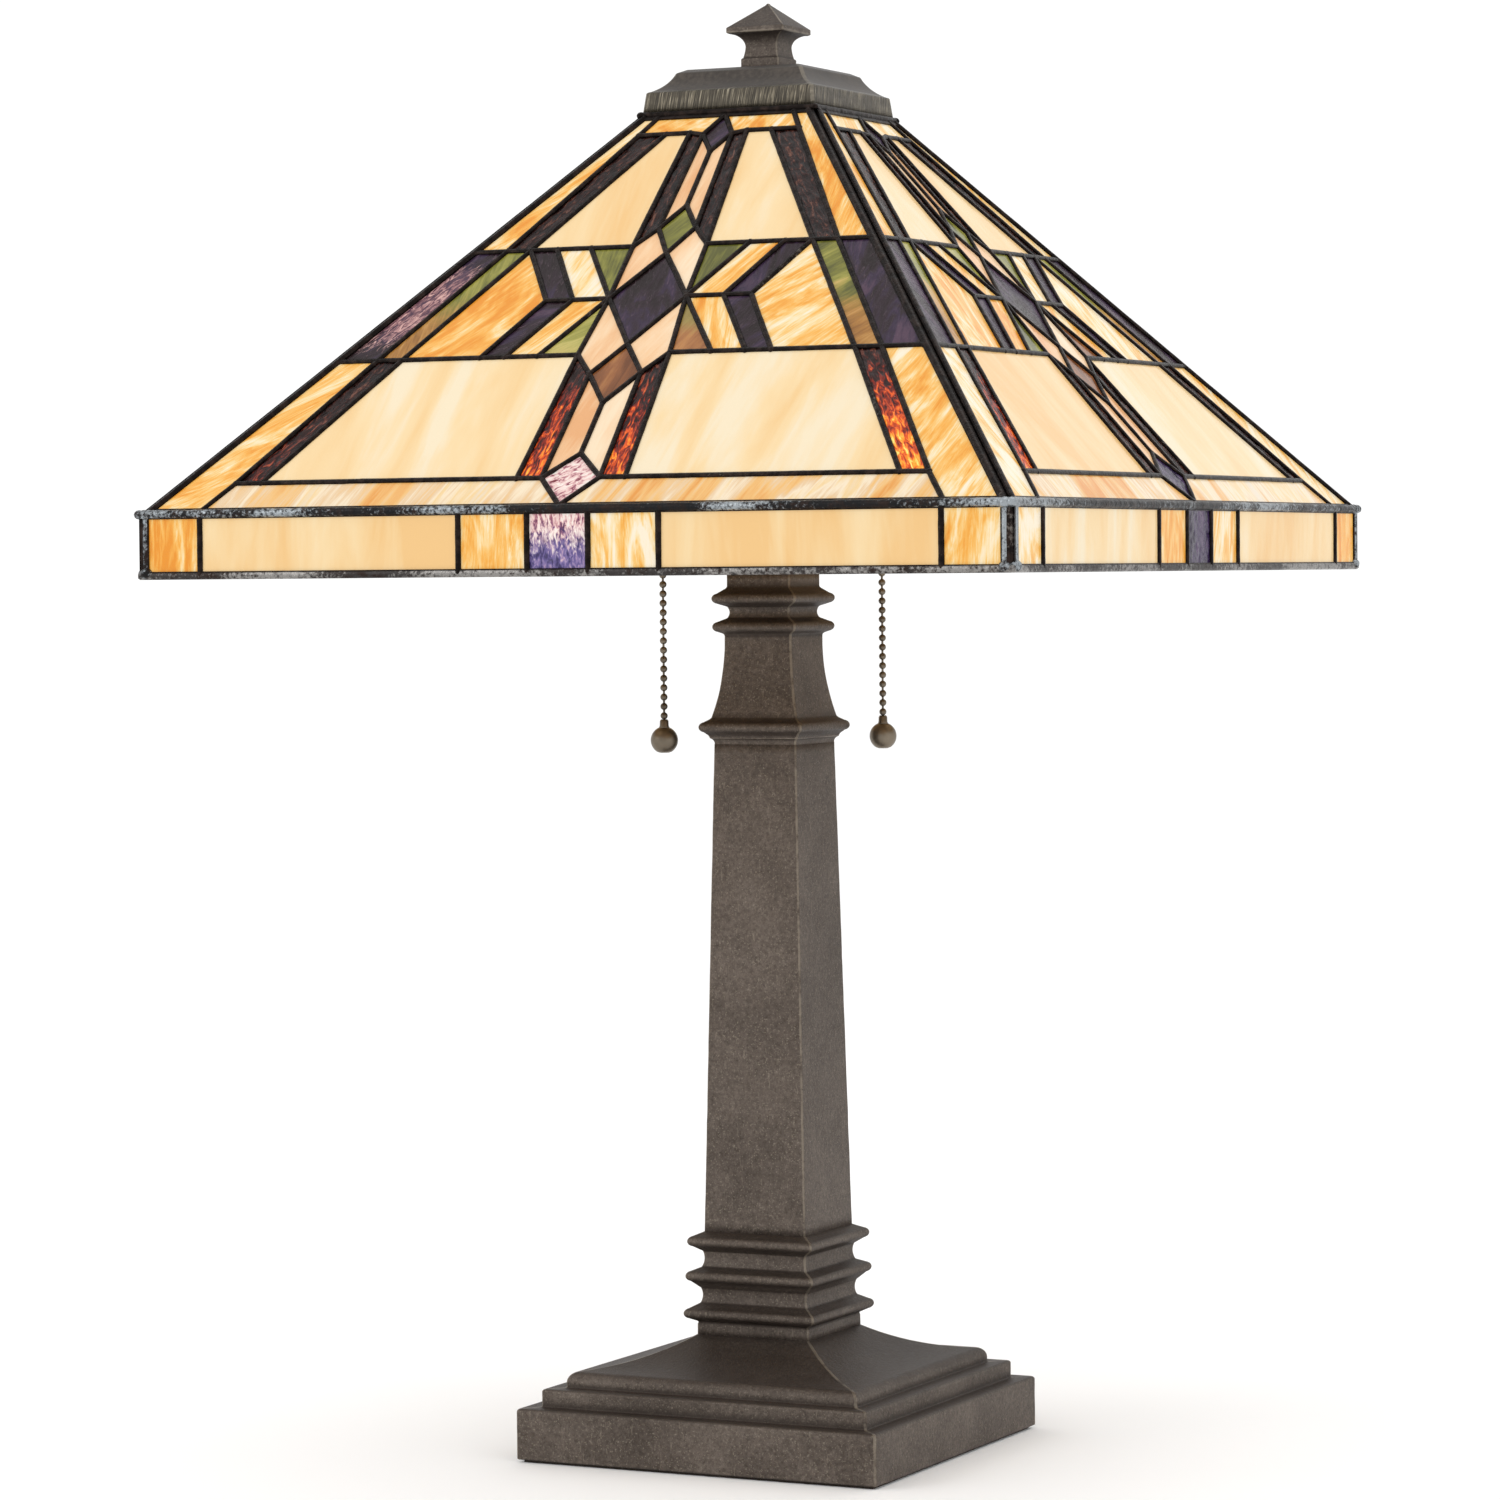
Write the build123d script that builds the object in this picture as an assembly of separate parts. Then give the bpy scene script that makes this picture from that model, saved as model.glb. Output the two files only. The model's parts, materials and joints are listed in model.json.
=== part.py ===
"""Square pyramid leaded glass table lamp with two pull chain sockets.

Millimetres, +Z up.  The origin is the centre of the foot's underside.  The front of the lamp faces -Y
and its right side faces +X.
"""
from build123d import *
import math
import os

# ---------------------------------------------------------------- driving dimensions
LAMP_HEIGHT = 635.0
FOOT_HALF = 86.1
FELT_THICKNESS = 1.2

# Foot and column, all square in plan: heights above the table
PLINTH_TOP = 23.5
SECOND_STEP_TOP = 31.3
THIRD_STEP_TOP = 38.1
COLUMN_BOTTOM = 51.4
SHAFT_BOTTOM = 96.6
SHAFT_TOP = 310.8
SHAFT_FOOT_HALF = 24.6
SHAFT_HEAD_HALF = 20.0
COLUMN_TOP = 385.0

# Shade
EAVE_HALF = 200.7
EAVE_HEIGHT = 412.2
CROWN_HALF = 42.1
CROWN_HEIGHT = 585.0
SKIRT_BOTTOM = 385.0
RIM_HEIGHT = 2.6
RIM_OVERHANG = 0.5
RIM_DEPTH = 5.6
LEAD_THICKNESS = 4.6
GLASS_THICKNESS = 3.0
LEAD_HALF_WIDTH = 1.05
HIP_LEAD_WIDTH = 3.3
CORNER_LEAD_WIDTH = 4.0
EAVE_LEAD_WIDTH = 3.7
SKIRT_TOP_LEAD_WIDTH = 1.8
RIM_LEAD_WIDTH = 0.8
HIP_GAP = 2.0
HIP_GROOVE = 2.6
CROWN_RING_THICKNESS = 1.3
CAP_BOTTOM = CROWN_HEIGHT + CROWN_RING_THICKNESS
CAP_TOP = 605.2
CAP_WALL = 1.6

# Pipe that holds the lamp together, and the hardware on it
PIPE_RADIUS = 4.75
PIPE_BORE = 3.2
PIPE_BOTTOM = 8.0
PIPE_TOP = 617.0
THREAD_CLEARANCE = 0.05
CLEAR_HOLE = 5.3
CAVITY_CEILING = 30.0
WEIGHT_BOTTOM = 18.0
WASHER_THICKNESS = 2.0
BOTTOM_NUT_HEIGHT = 6.0
SPACER_BOTTOM = COLUMN_TOP + 2.5
CLUSTER_BOTTOM = 411.0
CLUSTER_TOP = 439.0
CLUSTER_RADIUS = 18.0
CLUSTER_COVER_TOP = 442.0
CLUSTER_NUT_TOP = 447.0
LOCK_NUT_HEIGHT = 6.4

# Cord outlet in the back of the foot
CORD_BORE = 3.2
CORD_HEIGHT = 9.5
BUSHING_RADIUS = 5.0
BUSHING_FLANGE_RADIUS = 6.2
BUSHING_INNER_END = 75.5
BUSHING_OUTER_END = 87.7

# Sockets lie flat on the diagonal; distances run outward from the lamp's axis
SOCKET_ANGLES = {"left": 225.0, "right": 45.0}
SOCKET_HEIGHT = 425.0
NIPPLE_START = 12.0
NIPPLE_END = 26.0
SOCKET_START = 21.0
SOCKET_SEAM = 42.0
SOCKET_END = 80.0
SOCKET_RADIUS = 16.2
SHELL_WALL = 0.9
LINER_RADIUS = 15.2
LINER_WALL = 0.7
SWITCH_START = 38.0
SWITCH_END = 56.0
SWITCH_RADIUS = 14.3
SCREW_SHELL_RADIUS = 14.2
SCREW_SHELL_BORE = 13.5
BULB_CAP_RADIUS = 13.1
BULB_RADIUS = 30.0
BULB_CENTRE = 132.0
BULB_NECK_RADIUS = 13.2
BULB_WALL = 1.0

# Pull chains
CHAIN_DISTANCE = 51.0
BEAD_RADIUS = 1.6
BEAD_PITCH = 4.1
CHAIN_WIRE_RADIUS = 0.55
CHAIN_PIVOT = 399.5
UPPER_BEADS = 4
LOWER_BEADS = 19
CHAIN_BALL_RADIUS = 6.0
CHAIN_BALL_HEIGHT = 313.0
CHAIN_COLLAR_TOP = 321.2
GUIDE_BOTTOM = 401.0
GUIDE_TOP = 412.0
GUIDE_RADIUS = 3.2
GUIDE_BORE = 2.2

SIDES = {"front": 0.0, "right": 90.0, "back": 180.0, "left": 270.0}

# Worked out from the dimensions above
SLOPE_RUN = EAVE_HALF - CROWN_HALF
SLOPE_RISE = CROWN_HEIGHT - EAVE_HEIGHT
SLOPE_LENGTH = math.hypot(SLOPE_RUN, SLOPE_RISE)
SLAB_INSET = LEAD_THICKNESS * SLOPE_LENGTH / SLOPE_RISE
HIP_INSET = HIP_GAP / math.sqrt(2)
GLASS_DEPTH = (LEAD_THICKNESS - GLASS_THICKNESS) / 2
SKIRT_LOW = SKIRT_BOTTOM + RIM_HEIGHT

nodes = {}


# ---------------------------------------------------------------- shape helpers
def ring_steps(tip_half, tip_height):
    """Rounded nose of one moulding ring, as steps for square_moulding."""
    back = 1.7
    half_height = 2.2
    return [
        (tip_half - back, tip_height - half_height),
        (tip_half - back, tip_height + half_height, back),
    ]


def square_moulding(steps):
    """Solid of square plan with mitred corners.

    Each step is (half width, height) for a straight run, or (half width, height, bulge) for an arc
    whose middle stands out from its chord by bulge, and inwards where bulge is negative.
    """
    edges = []
    here = steps[0]
    for step in steps[1:]:
        start = Vector(here[0], 0, here[1])
        end = Vector(step[0], 0, step[1])
        if len(step) == 3:
            run = end - start
            outward = Vector(run.Z, 0, -run.X).normalized()
            middle = (start + end) * 0.5 + outward * step[2]
            edges.append(ThreePointArc(start, middle, end))
        else:
            edges.append(Line(start, end))
        here = step
    low = Vector(0, 0, steps[0][1])
    high = Vector(0, 0, steps[-1][1])
    edges.append(Line(Vector(here[0], 0, here[1]), high))
    edges.append(Line(high, low))
    edges.append(Line(low, Vector(steps[0][0], 0, steps[0][1])))
    half = Face(Wire(edges))
    reach = 1.2 * max(step[0] for step in steps)
    prism = extrude(half, amount=reach, dir=(0, 1, 0), both=True)
    prism = prism + mirror(prism, about=Plane.YZ)
    return prism & (Rot(0, 0, 90) * prism)


def box_between(low, high):
    """Box from its lowest corner to its highest."""
    size = [top - bottom for bottom, top in zip(low, high)]
    return Pos(*low) * Box(*size, align=(Align.MIN, Align.MIN, Align.MIN))


def square_block(half, low, high):
    return box_between((-half, -half, low), (half, half, high))


def round_bar(radius, low, high, x=0.0, y=0.0):
    bar = Cylinder(radius, high - low, align=(Align.CENTER, Align.CENTER, Align.MIN))
    return Pos(x, y, low) * bar


def tube(outer, bore, low, high, x=0.0, y=0.0):
    return round_bar(outer, low, high, x, y) - round_bar(bore, low, high, x, y)


def hex_nut(across_flats, low, high):
    radius = across_flats / math.sqrt(3)
    body = Pos(0, 0, low) * extrude(RegularPolygon(radius, 6), amount=high - low)
    return body - round_bar(PIPE_RADIUS + THREAD_CLEARANCE, low, high)


def on_socket_axis(solid, angle):
    """Lay a solid made about +Z along a socket's axis, its height turned into distance outward."""
    return Pos(0, 0, SOCKET_HEIGHT) * Rot(0, 0, angle) * Rot(0, 90, 0) * solid


def chain_place(angle):
    turn = math.radians(angle)
    return CHAIN_DISTANCE * math.cos(turn), CHAIN_DISTANCE * math.sin(turn)


def all_round(solid):
    """Copies of a front solid on the four sides."""
    return Compound([copy for angle in SIDES.values() for copy in (Rot(0, 0, angle) * solid).solids()])


# ---------------------------------------------------------------- foot
def make_foot():
    casting = square_moulding([
        (FOOT_HALF - 0.8, FELT_THICKNESS),
        (FOOT_HALF, FELT_THICKNESS + 0.8, 0.25),
        (FOOT_HALF, PLINTH_TOP - 1.4),
        (FOOT_HALF - 1.4, PLINTH_TOP, 0.4),
        (77.9, PLINTH_TOP),
        (77.9, SECOND_STEP_TOP - 1.2),
        (76.7, SECOND_STEP_TOP, 0.35),
        (69.9, SECOND_STEP_TOP),
        (69.9, 33.6),
        (65.5, THIRD_STEP_TOP, 1.3),
        (27.3, COLUMN_BOTTOM, -2.4),
    ])
    casting -= square_block(80.0, FELT_THICKNESS, 20.0)
    casting -= square_block(65.0, 20.0, CAVITY_CEILING)
    casting -= round_bar(CLEAR_HOLE, CAVITY_CEILING, COLUMN_BOTTOM)
    cord_hole = Rot(90, 0, 0) * Cylinder(BUSHING_RADIUS + THREAD_CLEARANCE, 20)
    nodes["base_casting"] = casting - Pos(0, FOOT_HALF, CORD_HEIGHT) * cord_hole
    nodes["felt_pad"] = square_block(FOOT_HALF - 2.6, 0, FELT_THICKNESS)

    weight = square_block(55.0, WEIGHT_BOTTOM, CAVITY_CEILING)
    nodes["base_weight"] = weight - round_bar(CLEAR_HOLE, WEIGHT_BOTTOM, CAVITY_CEILING)
    washer_low = WEIGHT_BOTTOM - WASHER_THICKNESS
    pipe_hole = PIPE_RADIUS + THREAD_CLEARANCE
    nodes["bottom_washer"] = tube(14.0, pipe_hole, washer_low, WEIGHT_BOTTOM)
    nodes["bottom_nut"] = hex_nut(14.0, washer_low - BOTTOM_NUT_HEIGHT, washer_low)

    length = BUSHING_OUTER_END - BUSHING_INNER_END
    bushing = round_bar(BUSHING_RADIUS, 0, length)
    bushing += round_bar(BUSHING_FLANGE_RADIUS, 0, BUSHING_OUTER_END - FOOT_HALF)
    bushing -= round_bar(CORD_BORE, 0, length)
    nodes["cord_bushing"] = Pos(0, BUSHING_OUTER_END, CORD_HEIGHT) * Rot(90, 0, 0) * bushing


# ---------------------------------------------------------------- column
def make_column():
    foot = square_moulding([
        (27.2, COLUMN_BOTTOM),
        (27.2, 56.0),
        (26.8, 57.0),
        *ring_steps(31.8, 60.8),
        (26.2, 65.2),
        (26.0, 71.8, -0.7),
        *ring_steps(31.1, 77.2),
        (25.7, 81.0),
        (25.3, 88.0, -0.7),
        *ring_steps(30.4, 92.5),
        (SHAFT_FOOT_HALF, SHAFT_BOTTOM),
    ])
    foot -= round_bar(CLEAR_HOLE, COLUMN_BOTTOM, SHAFT_BOTTOM)
    nodes["column_foot"] = foot - round_bar(19.0, 58.0, SHAFT_BOTTOM)

    wall = 2.6
    outside = square_moulding([(SHAFT_FOOT_HALF, SHAFT_BOTTOM), (SHAFT_HEAD_HALF, SHAFT_TOP)])
    inside = square_moulding([(SHAFT_FOOT_HALF - wall, SHAFT_BOTTOM), (SHAFT_HEAD_HALF - wall, SHAFT_TOP)])
    nodes["column_shaft"] = outside - inside

    capital = square_moulding([
        (SHAFT_HEAD_HALF, SHAFT_TOP),
        (21.5, 313.4, -0.5),
        (21.9, 314.6),
        *ring_steps(25.2, 318.3),
        (21.6, 321.7),
        (20.9, 322.4),
        (16.4, 357.0, -1.2),
        (16.4, 359.0),
        *ring_steps(20.4, 362.2),
        (15.5, 366.0),
        (15.5, 371.0, -0.8),
        *ring_steps(20.6, 374.6),
        (15.5, 379.4),
        (15.5, COLUMN_TOP),
    ])
    capital -= round_bar(11.0, SHAFT_TOP, 372.0)
    nodes["column_capital"] = capital - round_bar(CLEAR_HOLE, 372.0, COLUMN_TOP)
    nodes["threaded_pipe"] = tube(PIPE_RADIUS, PIPE_BORE, PIPE_BOTTOM, PIPE_TOP)
    nodes["column_top_washer"] = tube(13.0, PIPE_RADIUS + THREAD_CLEARANCE, COLUMN_TOP, SPACER_BOTTOM)


# ---------------------------------------------------------------- cluster and sockets
def make_cluster():
    pipe_hole = PIPE_RADIUS + THREAD_CLEARANCE
    nodes["cluster_spacer"] = tube(8.0, CLEAR_HOLE, SPACER_BOTTOM, CLUSTER_BOTTOM)
    body = tube(CLUSTER_RADIUS, pipe_hole, CLUSTER_BOTTOM, CLUSTER_TOP)
    nipples = []
    for angle in SOCKET_ANGLES.values():
        body -= on_socket_axis(round_bar(pipe_hole, NIPPLE_START, CLUSTER_RADIUS + 1), angle)
        nipples += on_socket_axis(tube(PIPE_RADIUS, PIPE_BORE, NIPPLE_START, NIPPLE_END), angle).solids()
    nodes["cluster_body"] = body
    nodes["socket_nipples"] = Compound(nipples)
    cover = tube(CLUSTER_RADIUS, pipe_hole, CLUSTER_TOP, CLUSTER_COVER_TOP)
    nodes["cluster_cover"] = chamfer(cover.faces().sort_by(Axis.Z)[-1].outer_wire().edges(), 2.0)
    nodes["cluster_nut"] = hex_nut(14.0, CLUSTER_COVER_TOP, CLUSTER_NUT_TOP)


def socket_cap():
    """Cup that closes the inner end of a socket, about +Z."""
    cone_end = 36.0
    wall = 1.2
    outside = [(0, SOCKET_START), (9, SOCKET_START), (SOCKET_RADIUS, cone_end), (SOCKET_RADIUS, SOCKET_SEAM)]
    bore = SOCKET_RADIUS - wall
    inside = [(0, SOCKET_START + wall), (8.2, SOCKET_START + wall), (bore, cone_end), (bore, SOCKET_SEAM)]
    cup = turned(Polyline(*outside, (0, SOCKET_SEAM), close=True))
    cup -= turned(Polyline(*inside, (0, SOCKET_SEAM), close=True))
    return cup - round_bar(PIPE_RADIUS + THREAD_CLEARANCE, SOCKET_START, SOCKET_SEAM)


def turned(outline):
    """Solid of revolution about Z from an outline of (radius, height)."""
    return revolve(Plane.XZ * make_face(outline), axis=Axis.Z)


def bulb_envelope(neck_radius, radius):
    """Solid pear shape about +Z: a cone from the neck that runs tangent into a ball."""
    neck = Vector(neck_radius, SOCKET_END + 0.5)
    centre = Vector(0, BULB_CENTRE)
    to_centre = centre - neck
    spread = math.asin(radius / to_centre.length)
    heading = math.atan2(to_centre.Y, to_centre.X) - spread
    reach = math.sqrt(to_centre.length ** 2 - radius ** 2)
    touch = neck + Vector(math.cos(heading), math.sin(heading)) * reach
    side = centre + Vector(math.cos(math.pi / 4), math.sin(math.pi / 4)) * radius
    tip = centre + Vector(0, radius)
    outline = [
        Line((0, neck.Y), neck),
        Line(neck, touch),
        ThreePointArc(touch, side, tip),
        Line(tip, (0, neck.Y)),
    ]
    return turned(outline)


def rolled_bead():
    """Bead rolled round a socket's shell, about +Z."""
    low, middle, high = 47.0, 48.2, 49.4
    inner = SOCKET_RADIUS - 0.3
    crest = ThreePointArc((SOCKET_RADIUS, low), (SOCKET_RADIUS + 0.9, middle), (SOCKET_RADIUS, high))
    back = Polyline((SOCKET_RADIUS, high), (inner, high), (inner, low), (SOCKET_RADIUS, low))
    return turned([crest, *back.edges()])


def make_sockets():
    upright = (Align.CENTER, Align.CENTER, Align.MIN)
    liners = []
    guides = []
    for side, angle in SOCKET_ANGLES.items():
        x, y = chain_place(angle)
        guide_hole = round_bar(GUIDE_RADIUS + THREAD_CLEARANCE, GUIDE_BOTTOM, GUIDE_TOP, x, y)
        chain_hole = round_bar(GUIDE_BORE + 0.1, GUIDE_BOTTOM, GUIDE_TOP + 5, x, y)
        nodes[side + "_socket_cap"] = on_socket_axis(socket_cap(), angle)

        shell = tube(SOCKET_RADIUS, SOCKET_RADIUS - SHELL_WALL, SOCKET_SEAM, SOCKET_END)
        nodes[side + "_socket_shell"] = on_socket_axis(shell + rolled_bead(), angle) - guide_hole
        liner = tube(LINER_RADIUS, LINER_RADIUS - LINER_WALL, SOCKET_SEAM, SOCKET_END - 1)
        liners += (on_socket_axis(liner, angle) - guide_hole).solids()
        switch = on_socket_axis(round_bar(SWITCH_RADIUS, SWITCH_START, SWITCH_END), angle)
        nodes[side + "_socket_switch"] = switch - guide_hole - chain_hole
        screw_shell = tube(SCREW_SHELL_RADIUS, SCREW_SHELL_BORE, SWITCH_END, SOCKET_END - 1)
        nodes[side + "_socket_screw_shell"] = on_socket_axis(screw_shell, angle)

        bell = Cone(GUIDE_RADIUS + 1, GUIDE_RADIUS, 3.0, align=upright)
        guide = round_bar(GUIDE_RADIUS, GUIDE_BOTTOM, GUIDE_TOP, x, y) + Pos(x, y, GUIDE_BOTTOM) * bell
        guides += (guide - round_bar(GUIDE_BORE, GUIDE_BOTTOM, GUIDE_TOP, x, y)).solids()

        glass = bulb_envelope(BULB_NECK_RADIUS, BULB_RADIUS)
        glass -= bulb_envelope(BULB_NECK_RADIUS - BULB_WALL, BULB_RADIUS - BULB_WALL)
        nodes[side + "_bulb_glass"] = on_socket_axis(glass, angle)
        bulb_cap = round_bar(BULB_CAP_RADIUS, SWITCH_END + 2.5, SOCKET_END + 0.5)
        bulb_cap += round_bar(4.0, SWITCH_END + 0.8, SWITCH_END + 2.5)
        nodes[side + "_bulb_base"] = on_socket_axis(bulb_cap, angle)
    nodes["socket_liners"] = Compound(liners)
    nodes["chain_guides"] = Compound(guides)


# ---------------------------------------------------------------- pull chains
def beaded_chain(first_bead, count, low, high):
    """Chain of beads on a wire, upward from the first bead's centre."""
    chain = round_bar(CHAIN_WIRE_RADIUS, low, high)
    for index in range(count):
        chain += Pos(0, 0, first_bead + index * BEAD_PITCH) * Sphere(BEAD_RADIUS)
    return chain


def make_chains():
    upper_first = CHAIN_PIVOT + BEAD_PITCH / 2
    upper_last = upper_first + (UPPER_BEADS - 1) * BEAD_PITCH
    lower_last = CHAIN_PIVOT - BEAD_PITCH / 2
    lower_first = lower_last - (LOWER_BEADS - 1) * BEAD_PITCH
    upper = beaded_chain(upper_first, UPPER_BEADS, upper_first, upper_last)
    lower = beaded_chain(lower_first, LOWER_BEADS, CHAIN_COLLAR_TOP, lower_last)
    ball = Pos(0, 0, CHAIN_BALL_HEIGHT) * Sphere(CHAIN_BALL_RADIUS)
    ball_foot = CHAIN_BALL_HEIGHT - CHAIN_BALL_RADIUS + 0.5
    ball -= square_block(CHAIN_BALL_RADIUS, ball_foot - 2, ball_foot)
    ball += round_bar(2.0, CHAIN_BALL_HEIGHT + 5, CHAIN_COLLAR_TOP)
    for side, angle in SOCKET_ANGLES.items():
        place = Pos(*chain_place(angle), 0)
        nodes[side + "_switch_chain"] = place * upper
        nodes[side + "_pull_chain"] = place * lower
        nodes[side + "_chain_ball"] = place * ball


# ---------------------------------------------------------------- leaded panels
def inset(corners, gap):
    """Corners of a polygon moved inwards, so that every side is gap further in."""
    area = sum(a[0] * b[1] - b[0] * a[1] for a, b in zip(corners, corners[1:] + corners[:1]))
    if area < 0:
        corners = corners[::-1]
    moved = []
    for before, here, after in zip(corners[-1:] + corners[:-1], corners, corners[1:] + corners[:1]):
        come = Vector(here[0] - before[0], here[1] - before[1]).normalized()
        leave = Vector(after[0] - here[0], after[1] - here[1]).normalized()
        normal_sum = Vector(-come.Y - leave.Y, come.X + leave.X)
        scale = gap / (1 + come.dot(leave))
        moved.append((here[0] + normal_sum.X * scale, here[1] + normal_sum.Y * scale))
    return moved


def panel_pattern():
    """Glass pieces of a sloping panel: (colour, corners) on the centre lines of the leads.

    A corner is (distance right of the centre line, distance up the slope from the eave).
    """
    eave = EAVE_LEAD_WIDTH - LEAD_HALF_WIDTH
    border, lower, middle, upper, band, top = 18.1, 88.6, 121.6, 152.7, 222.1, 232.5
    slant = math.hypot(SLOPE_RUN, SLOPE_LENGTH) / SLOPE_LENGTH
    edge_inset = HIP_INSET + (HIP_LEAD_WIDTH - LEAD_HALF_WIDTH) * slant

    def hip(row):
        return EAVE_HALF - SLOPE_RUN * row / SLOPE_LENGTH - edge_inset

    pieces = []

    def centred(colour, *corners):
        mirrored = [(-x, row) for x, row in reversed(corners) if x > 0]
        pieces.append((colour, list(corners) + mirrored))

    def paired(colour, *corners, left_colour=None):
        pieces.append((colour, list(corners)))
        pieces.append((left_colour or colour, [(-x, row) for x, row in corners]))

    # Lines that several pieces share
    strip_eave, strip_border, strip_lower = 170.2, 159.5, 117.8
    strip_upper, strip_band, strip_top = 78.4, 38.4, 32.7
    field_border, field_lower, field_upper, field_band = 147.0, 105.7, 66.7, 25.2
    kite_low = (21.5, lower)
    kite_side = (18.2, middle)
    kite_high = (17.5, upper)
    honey_side = (12.0, 77.2)
    green_side = (8.8, 162.9)
    crest_side = (7.0, 220.7)
    mauve_side = (13.5, border)
    stem_foot = (25.0, border)
    stem_head = (13.7, band)

    # Centre line, from the eave up
    centred("mauve", (0, eave), mauve_side, (0, 31.6))
    paired("peach", (0, 31.6), mauve_side, honey_side, (0, 60.4))
    centred("honey", (0, 60.4), honey_side, (0, 94.1))
    paired("peach", (0, 94.1), honey_side, kite_low, kite_side)
    centred("plum", (0, 94.1), kite_side, (0, 147.7))
    paired("peach", (0, 147.7), kite_side, kite_high, green_side)
    centred("green", (0, 147.7), green_side, (0, 176.5))
    paired("peach", (0, 176.5), green_side, crest_side, (0, 209.9))
    centred("plum", (0, 209.9), crest_side, (0, top))
    paired("ripple", mauve_side, stem_foot, kite_low, honey_side)
    paired("ripple", green_side, kite_high, stem_head, crest_side)

    # Chevrons on each side of the centre, split by the middle lead
    paired("green", kite_side, (37.6, upper), kite_high)
    paired("honey", kite_low, (40.5, lower), kite_side, left_colour="green")
    paired("amber", kite_side, (35.5, middle), (53.9, upper), (37.6, upper))
    paired("amber", kite_side, (40.5, lower), (56.3, lower), (35.5, middle))
    paired("plum", (35.5, middle), (48.3, middle), (field_upper, upper), (53.9, upper))
    paired("plum", (35.5, middle), (56.3, lower), (68.0, lower), (48.3, middle))
    paired("amber", (48.3, middle), (68.0, lower), (field_lower, lower), (field_upper, upper))

    # Large fields and the long strips beside them
    paired("cream", stem_foot, (field_border, border), (field_lower, lower), kite_low)
    paired("cream", kite_high, (field_upper, upper), (field_band, band), stem_head)
    paired("ripple", (field_border, border), (strip_border, border), (strip_lower, lower),
           (field_lower, lower))
    paired("green", (field_lower, lower), (strip_lower, lower), (strip_upper, upper), (field_upper, upper))
    paired("ripple", (field_upper, upper), (strip_upper, upper), (strip_band, band), (field_band, band))

    # Strips along the hips, the band under the cap and the border above the eave
    paired("amber", (strip_eave, eave), (hip(eave), eave), (hip(lower), lower), (strip_lower, lower),
           (strip_border, border))
    paired("plum", (strip_lower, lower), (hip(lower), lower), (hip(upper), upper), (strip_upper, upper))
    paired("amber", (strip_upper, upper), (hip(upper), upper), (hip(top), top), (strip_top, top),
           (strip_band, band))
    paired("amber", crest_side, stem_head, (strip_band, band), (strip_top, top), (0, top))
    paired("border", (0, eave), (strip_eave, eave), (strip_border, border), mauve_side)
    return pieces


def skirt_pattern():
    """Glass pieces of a skirt panel, corner (distance right, height), on the centre lines of the leads."""
    low = SKIRT_LOW + RIM_LEAD_WIDTH - LEAD_HALF_WIDTH
    high = EAVE_HEIGHT - SKIRT_TOP_LEAD_WIDTH + LEAD_HALF_WIDTH
    edge = EAVE_HALF - HIP_INSET - (CORNER_LEAD_WIDTH - LEAD_HALF_WIDTH)
    lines = [-edge, -170.0, -46.0, -14.0, 14.0, 46.0, 170.0, edge]
    colours = ["amber", "cream", "amber", "mauve", "amber", "cream", "amber"]
    return [
        (colour, [(left, low), (right, low), (right, high), (left, high)])
        for colour, left, right in zip(colours, lines, lines[1:])
    ]


def leaded_panel(plane, outline, pattern, keep):
    """Lead lattice and the glass in it, in the front position: (lattice, [(colour, glass)])."""
    holes = [Wire.make_polygon(inset(corners, LEAD_HALF_WIDTH)) for _, corners in pattern]
    sheet = Face(Wire.make_polygon(outline), holes)
    lattice = (plane * extrude(sheet, amount=-LEAD_THICKNESS, dir=(0, 0, 1))) & keep
    panes = []
    for (colour, _), hole in zip(pattern, holes):
        pane = extrude(Face(hole), amount=-GLASS_THICKNESS, dir=(0, 0, 1))
        panes.append((colour, plane * Pos(0, 0, -GLASS_DEPTH) * pane))
    return lattice, panes


def side_wedge(low, high):
    """Room of the front side between its two hip seams."""
    reach = EAVE_HALF + 10
    corner = [(-reach + HIP_INSET, -reach), (reach - HIP_INSET, -reach), (0, -HIP_INSET)]
    return Pos(0, 0, low) * extrude(Face(Wire.make_polygon(corner)), amount=high - low, dir=(0, 0, 1))


def mitred_bar(section):
    """Front bar with 45 degree ends, from a section of (distance from the axis, height)."""
    reach = EAVE_HALF + 10
    bar = extrude(Face(Wire.make_polygon([(0, -out, height) for out, height in section])), amount=reach,
                  dir=(1, 0, 0), both=True)
    room = [(-reach, -reach), (reach, -reach), (0, 0)]
    return bar & extrude(Face(Wire.make_polygon(room)), amount=LAMP_HEIGHT, dir=(0, 0, 1))


def hip_bar(section):
    """Thin bar in the vertical plane of a hip, from a section of (half width, height)."""
    spread = [(half * math.sqrt(2), 0, height) for half, height in section]
    bar = extrude(Face(Wire.make_polygon(spread)), amount=HIP_GAP / 2, dir=(0, 1, 0), both=True)
    return Rot(0, 0, -45) * bar


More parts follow.
